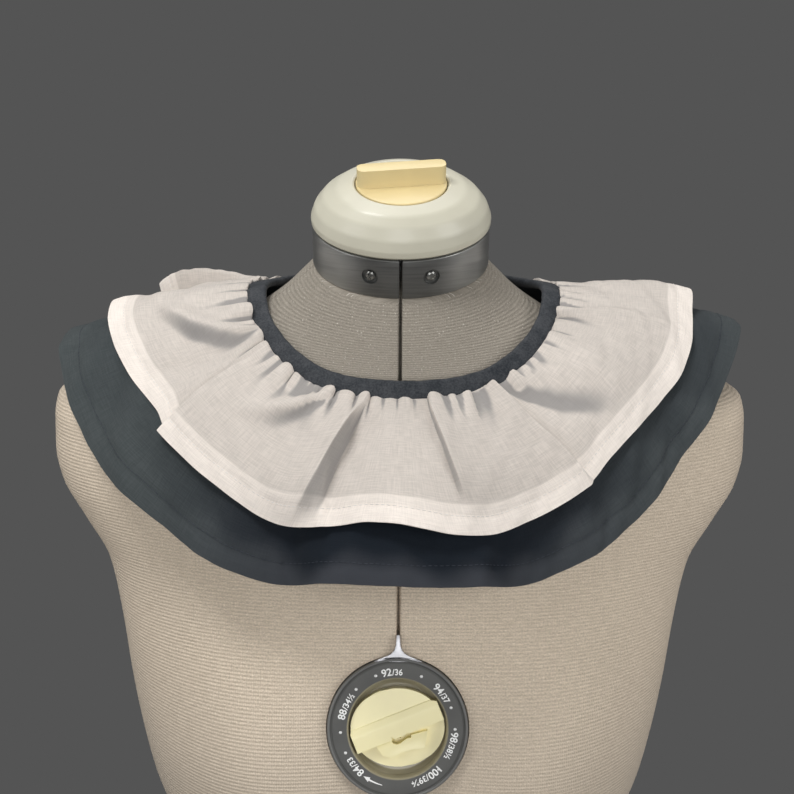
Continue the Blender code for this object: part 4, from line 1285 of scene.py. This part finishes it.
def makeDialKnob(finish):
    # one outline of the disc, wider than tall, carries a plateau, a ridged bar and a low crescent
    size = dialKnob
    wide, tall = size["radius"], size["flat"]
    tilt = size["turn"]
    # distances across the bar, and the height of the top there
    steps = ((-0.1, size["floor"]), (size["edgeAt"] - 0.0003, size["floor"]),
             (size["edgeAt"], size["edge"]), (size["ridgeAt"], size["ridge"]),
             (size["ridgeAt"] + 0.0004, size["ridge"]),
             (size["plateauFrom"], size["plateau"] + 0.0006),
             (size["plateauFrom"] + 0.0004, size["plateau"]), (0.1, size["plateau"] - 0.002))
    keys, tops = zip(*steps)

    def halfChord(across):
        # the ellipse cut along the bar's direction at a distance across
        a = (cos(tilt) / wide) ** 2 + (sin(tilt) / tall) ** 2
        b = 2 * (-sin(tilt) * cos(tilt) / wide ** 2 + sin(tilt) * cos(tilt) / tall ** 2) * across
        c = across ** 2 * ((sin(tilt) / wide) ** 2 + (cos(tilt) / tall) ** 2) - 1
        inside = b * b - 4 * a * c
        if inside <= 0:
            return None
        return (-b - inside ** 0.5) / (2 * a), (-b + inside ** 0.5) / (2 * a)

    # strips across the bar, so that its edges stay crisp
    columns = 40
    spread = 0.5 - 0.5 * np.cos(np.linspace(0, pi, columns + 1))
    grid = []
    for across in sorted({round(v, 5) for v in (*keys[1:-1], *np.linspace(-0.0235, 0.0235, 36))}):
        chord = halfChord(across)
        if chord is None:
            continue
        low, high = chord
        if size["edgeAt"] - 0.0001 <= across <= size["ridgeAt"] + 0.0041:
            low, high = min(low, -size["length"] / 2), max(high, size["length"] / 2)
        top = float(np.interp(across, keys, tops))
        grid.append([(*knobPoint(along, across), top) for along in low + (high - low) * spread])
    top = [point for row in grid for point in row]
    bottom = [(x, y, size["bottom"]) for x, y, _ in top]
    knob = makeObject("dialKnob", closedMesh("dialKnob", top + bottom,
                                             shellFaces(len(grid), columns + 1)))
    carve(knob, slotMesh())
    applied(knob)
    soften(knob, 0.0005, 2, 30)
    applied(knob, 35)
    knob.data.transform(dialFrame)
    return finishPiece(knob, finish, "bust_adjuster", nodes=["dial_knob"])


def slotMesh():
    # the S-shaped slot between the bar and the small knob below it
    middle = [(-0.0030, -0.0062), (-0.0022, -0.0070), (-0.0004, -0.0074), (0.0016, -0.0068),
              (0.0036, -0.0052), (0.0054, -0.0040), (0.0074, -0.0038)]
    half = 0.0014
    outline = [(x, y + half) for x, y in middle] + [(x, y - half) for x, y in reversed(middle)]
    return prismMesh("slot", outline, -0.0075, 0.02)


def makeWing(finish):
    # the small winged knob under the bar
    outline = roundedPath([(-0.0116, -0.0100, 0), (-0.0080, -0.0148, 0.0006),
                           (-0.0018, -0.0166, 0.0008), (0.0016, -0.0130, 0.0030),
                           (0.0080, -0.0112, 0.0025), (0.0146, -0.0108, 0.0008),
                           (0.0160, -0.0040, 0.0008), (0.0166, -0.0010, 0.0006),
                           (-0.0050, -0.0070, 0.0005), (-0.0116, -0.0100, 0)], 4)[:-1]
    mesh = prismMesh("dialWing", outline, dialKnob["floor"] - 0.0004, -0.0006)
    # its top rises to a ridge along the bar
    for vertex in mesh.vertices:
        if vertex.co.z > dialKnob["floor"]:
            across = vertex.co.y * cos(dialKnob["turn"]) - vertex.co.x * sin(dialKnob["turn"])
            vertex.co.z += 0.0016 * max(0.0, 1 - abs(across + 0.0120) / 0.0050)
    wing = makeObject("dialWing", mesh)
    carve(wing, slotMesh())
    soften(wing, 0.0007, 3, 40)
    applied(wing, 35)
    wing.data.transform(dialFrame)
    return finishPiece(wing, finish, "bust_adjuster")


def makeTrim(finish):
    ringTop = dialRing["radius"] + 0.0005
    right = [(0.0125, -0.0002), (0.0090, 0.0004), (0.0058, 0.0010), (0.0036, 0.0020), (0.0021, 0.0036),
             (0.0013, 0.0060), (0.0009, 0.0118)]

    def onRing(x):
        return (ringTop ** 2 - x ** 2) ** 0.5

    outline = [(x, onRing(x) + y) for x, y in right]
    outline = outline + [(-x, y) for x, y in reversed(outline)]
    outline += [(x, onRing(x)) for x in np.linspace(-0.0120, 0.0120, 17).tolist()]
    trim = makeObject("dialTrim", prismMesh("dialTrim", outline, 0.0002, 0.0022))
    soften(trim, 0.0004, 3, 40)
    applied(trim, 40)
    trim.data.transform(dialFrame)
    return finishPiece(trim, finish, nodes=["dial_trim"])


def ringFinish():
    # dark plastic, with a paler polished cone inside the opening and a painted highlight on the outer
    # rim
    finish = plasticFinish("darkPlastic", (0.070, 0.070, 0.064), (0.054, 0.054, 0.050), 0.46, 0.03)
    face = Value(finish, finish.shader.inputs["Base Color"].links[0].from_socket)
    away = finish.add("ShaderNodeVectorMath", {"operation": "DISTANCE"},
                      {0: finish.place(), 1: tuple(dialFrame.translation)}, 1)
    cone = 1.0 - away.band(0.0273, 0.0280)
    # painted highlight: a paler band all round the outer rim
    rim = away.band(0.0364, 0.0372)
    colour = finish.mix(cone, finish.mix(rim, face, (0.15, 0.15, 0.145)), (0.34, 0.31, 0.22))
    finish.surface(Base_Color=colour, Roughness=0.46 - cone * 0.18)
    return finish


darkPlastic = ringFinish()
silverPlastic = plasticFinish("silverPlastic", (0.50, 0.50, 0.52), (0.38, 0.38, 0.40), 0.32,
                              metallic=0.5)
whitePrint = plasticFinish("whitePrint", (0.95, 0.95, 0.93), (0.90, 0.90, 0.88), 0.5)
ring = makeObject("dialRing", turnedMesh("dialRing", roundedPath(dialRing["profile"], 4), 160))
ring.data.set_sharp_from_angle(angle=radians(35))
ring.data.transform(dialFrame)
finishPiece(ring, darkPlastic, nodes=["dial_ring"])
makePrint(whitePrint)
makeArrow(whitePrint)
makeDots(whitePrint)
# the same cream plastic, painted lighter for the dial knob, which gets less light
creamPaintedLighter = plasticFinish("creamPaintedLighter", (0.97, 0.885, 0.510), (0.93, 0.845, 0.485), 0.40, 0.05,
                          coat=0.10)
makeDialKnob(creamPaintedLighter)
makeWing(creamPaintedLighter)
makeTrim(silverPlastic)
print("dial")


# the stand

standBase = ((0.1700, 0.0000, 0), (0.1700, 0.0075, 0.0025), (0.1660, 0.0100, 0.004),
             (0.0300, 0.0145, 0.006), (0.0240, 0.0215, 0.0015), (0.0163, 0.0215, 0), (0.0163, 0.0150, 0))
blackEnamel = plasticFinish("blackEnamel", (0.034, 0.034, 0.034), (0.026, 0.026, 0.026), 0.32, 0.1,
                            coat=0.4)
base = makeObject("standBase", turnedMesh("standBase", roundedPath(standBase, 5), 160))
base.data.set_sharp_from_angle(angle=radians(40))
finishPiece(base, blackEnamel, nodes=["stand_base"])
poleTop = necklineLevel + sections[0][0] - 0.0003
pole = makeObject("standPole", turnedMesh("standPole", ((0.016, 0.0153), (0.016, poleTop)), 96))
pole.data.set_sharp_from_angle(angle=radians(40))
finishPiece(pole, blackEnamel, nodes=["stand_pole"])
print("stand")


# floor, light and camera

backdrop = 0.0887


def floorFinish():
    # pale under the stand, fading into the backdrop further out
    finish = Finish("floorFinish")
    place = finish.add("ShaderNodeTexCoord", out=3)
    away = finish.add("ShaderNodeVectorMath", {"operation": "LENGTH"}, {0: place}, 1)
    cloudy = finish.noise(place, 6.0)
    finish.surface(Base_Color=finish.mix(cloudy, (0.50, 0.50, 0.50), (0.56, 0.56, 0.56)),
                   Roughness=cloudy * 0.1 + 0.6)
    glow = finish.add("ShaderNodeEmission", sockets={"Color": (backdrop, backdrop, backdrop, 1)})
    mixed = finish.add("ShaderNodeMixShader",
                       sockets={0: away.band(0.50, 0.76), 1: Value(finish, finish.shader.outputs[0]),
                                2: glow})
    finish.fill(finish.nodes["Material Output"], {"Surface": mixed})
    return finish


floorMesh = meshFrom("floor", [(-6, -6, 0), (6, -6, 0), (6, 6, 0), (-6, 6, 0)], [(0, 1, 2, 3)])
floor = makeObject("floor", floorMesh)
floor.data.materials.append(floorFinish().material)

world = bpy.data.worlds.new("studio")
world.use_nodes = True
world.node_tree.nodes["Background"].inputs["Color"].default_value = (backdrop, backdrop, backdrop, 1)
scene.world = world
scene.view_settings.view_transform = "Standard"

lightNames = ("name", "x", "y", "z", "size", "power")
lights = (
    ("keyLight", -0.60, -0.42, 2.05, 0.50, 12.5),
    ("leftLight", -1.60, -1.10, 1.10, 1.00, 8.6),
    ("rightLight", 1.60, -1.10, 1.10, 1.00, 13.5),
    ("frontLight", 0.0, -2.20, 0.90, 1.00, 14.0),
    ("topLight", 0.0, 0.45, 2.30, 1.60, 14.0),
    ("leftStrip", -1.70, 0.25, 0.95, 0.50, 0.8),
    ("rightStrip", 1.70, 0.25, 0.95, 0.50, 1.0),
)
for row in lights:
    given = dict(zip(lightNames, row))
    lamp = bpy.data.lights.new(given["name"], "AREA")
    lamp.shape = "DISK"
    lamp.size = given["size"]
    lamp.energy = given["power"]
    holder = makeObject(given["name"], lamp)
    holder.location = (given["x"], given["y"], given["z"])
    aim = Vector((0, 0, 0.64)) - holder.location
    holder.rotation_euler = aim.to_track_quat("-Z", "Y").to_euler()

cameraView = {"target": (-0.0016, -0.073, 0.6705), "distance": 0.953, "pitch": 14.0, "roll": 0.4,
              "lens": 80.0}
lens = bpy.data.cameras.new("view")
lens.lens = cameraView["lens"]
lens.sensor_width = 36
camera = makeObject("view", lens)
pitch = radians(cameraView["pitch"])
back = cameraView["distance"] * Vector((0, -cos(pitch), sin(pitch)))
camera.location = Vector(cameraView["target"]) + back
camera.rotation_euler = (Matrix.Rotation(pi / 2 - pitch, 4, "X")
                         @ Matrix.Rotation(radians(cameraView["roll"]), 4, "Z")).to_euler()
scene.camera = camera
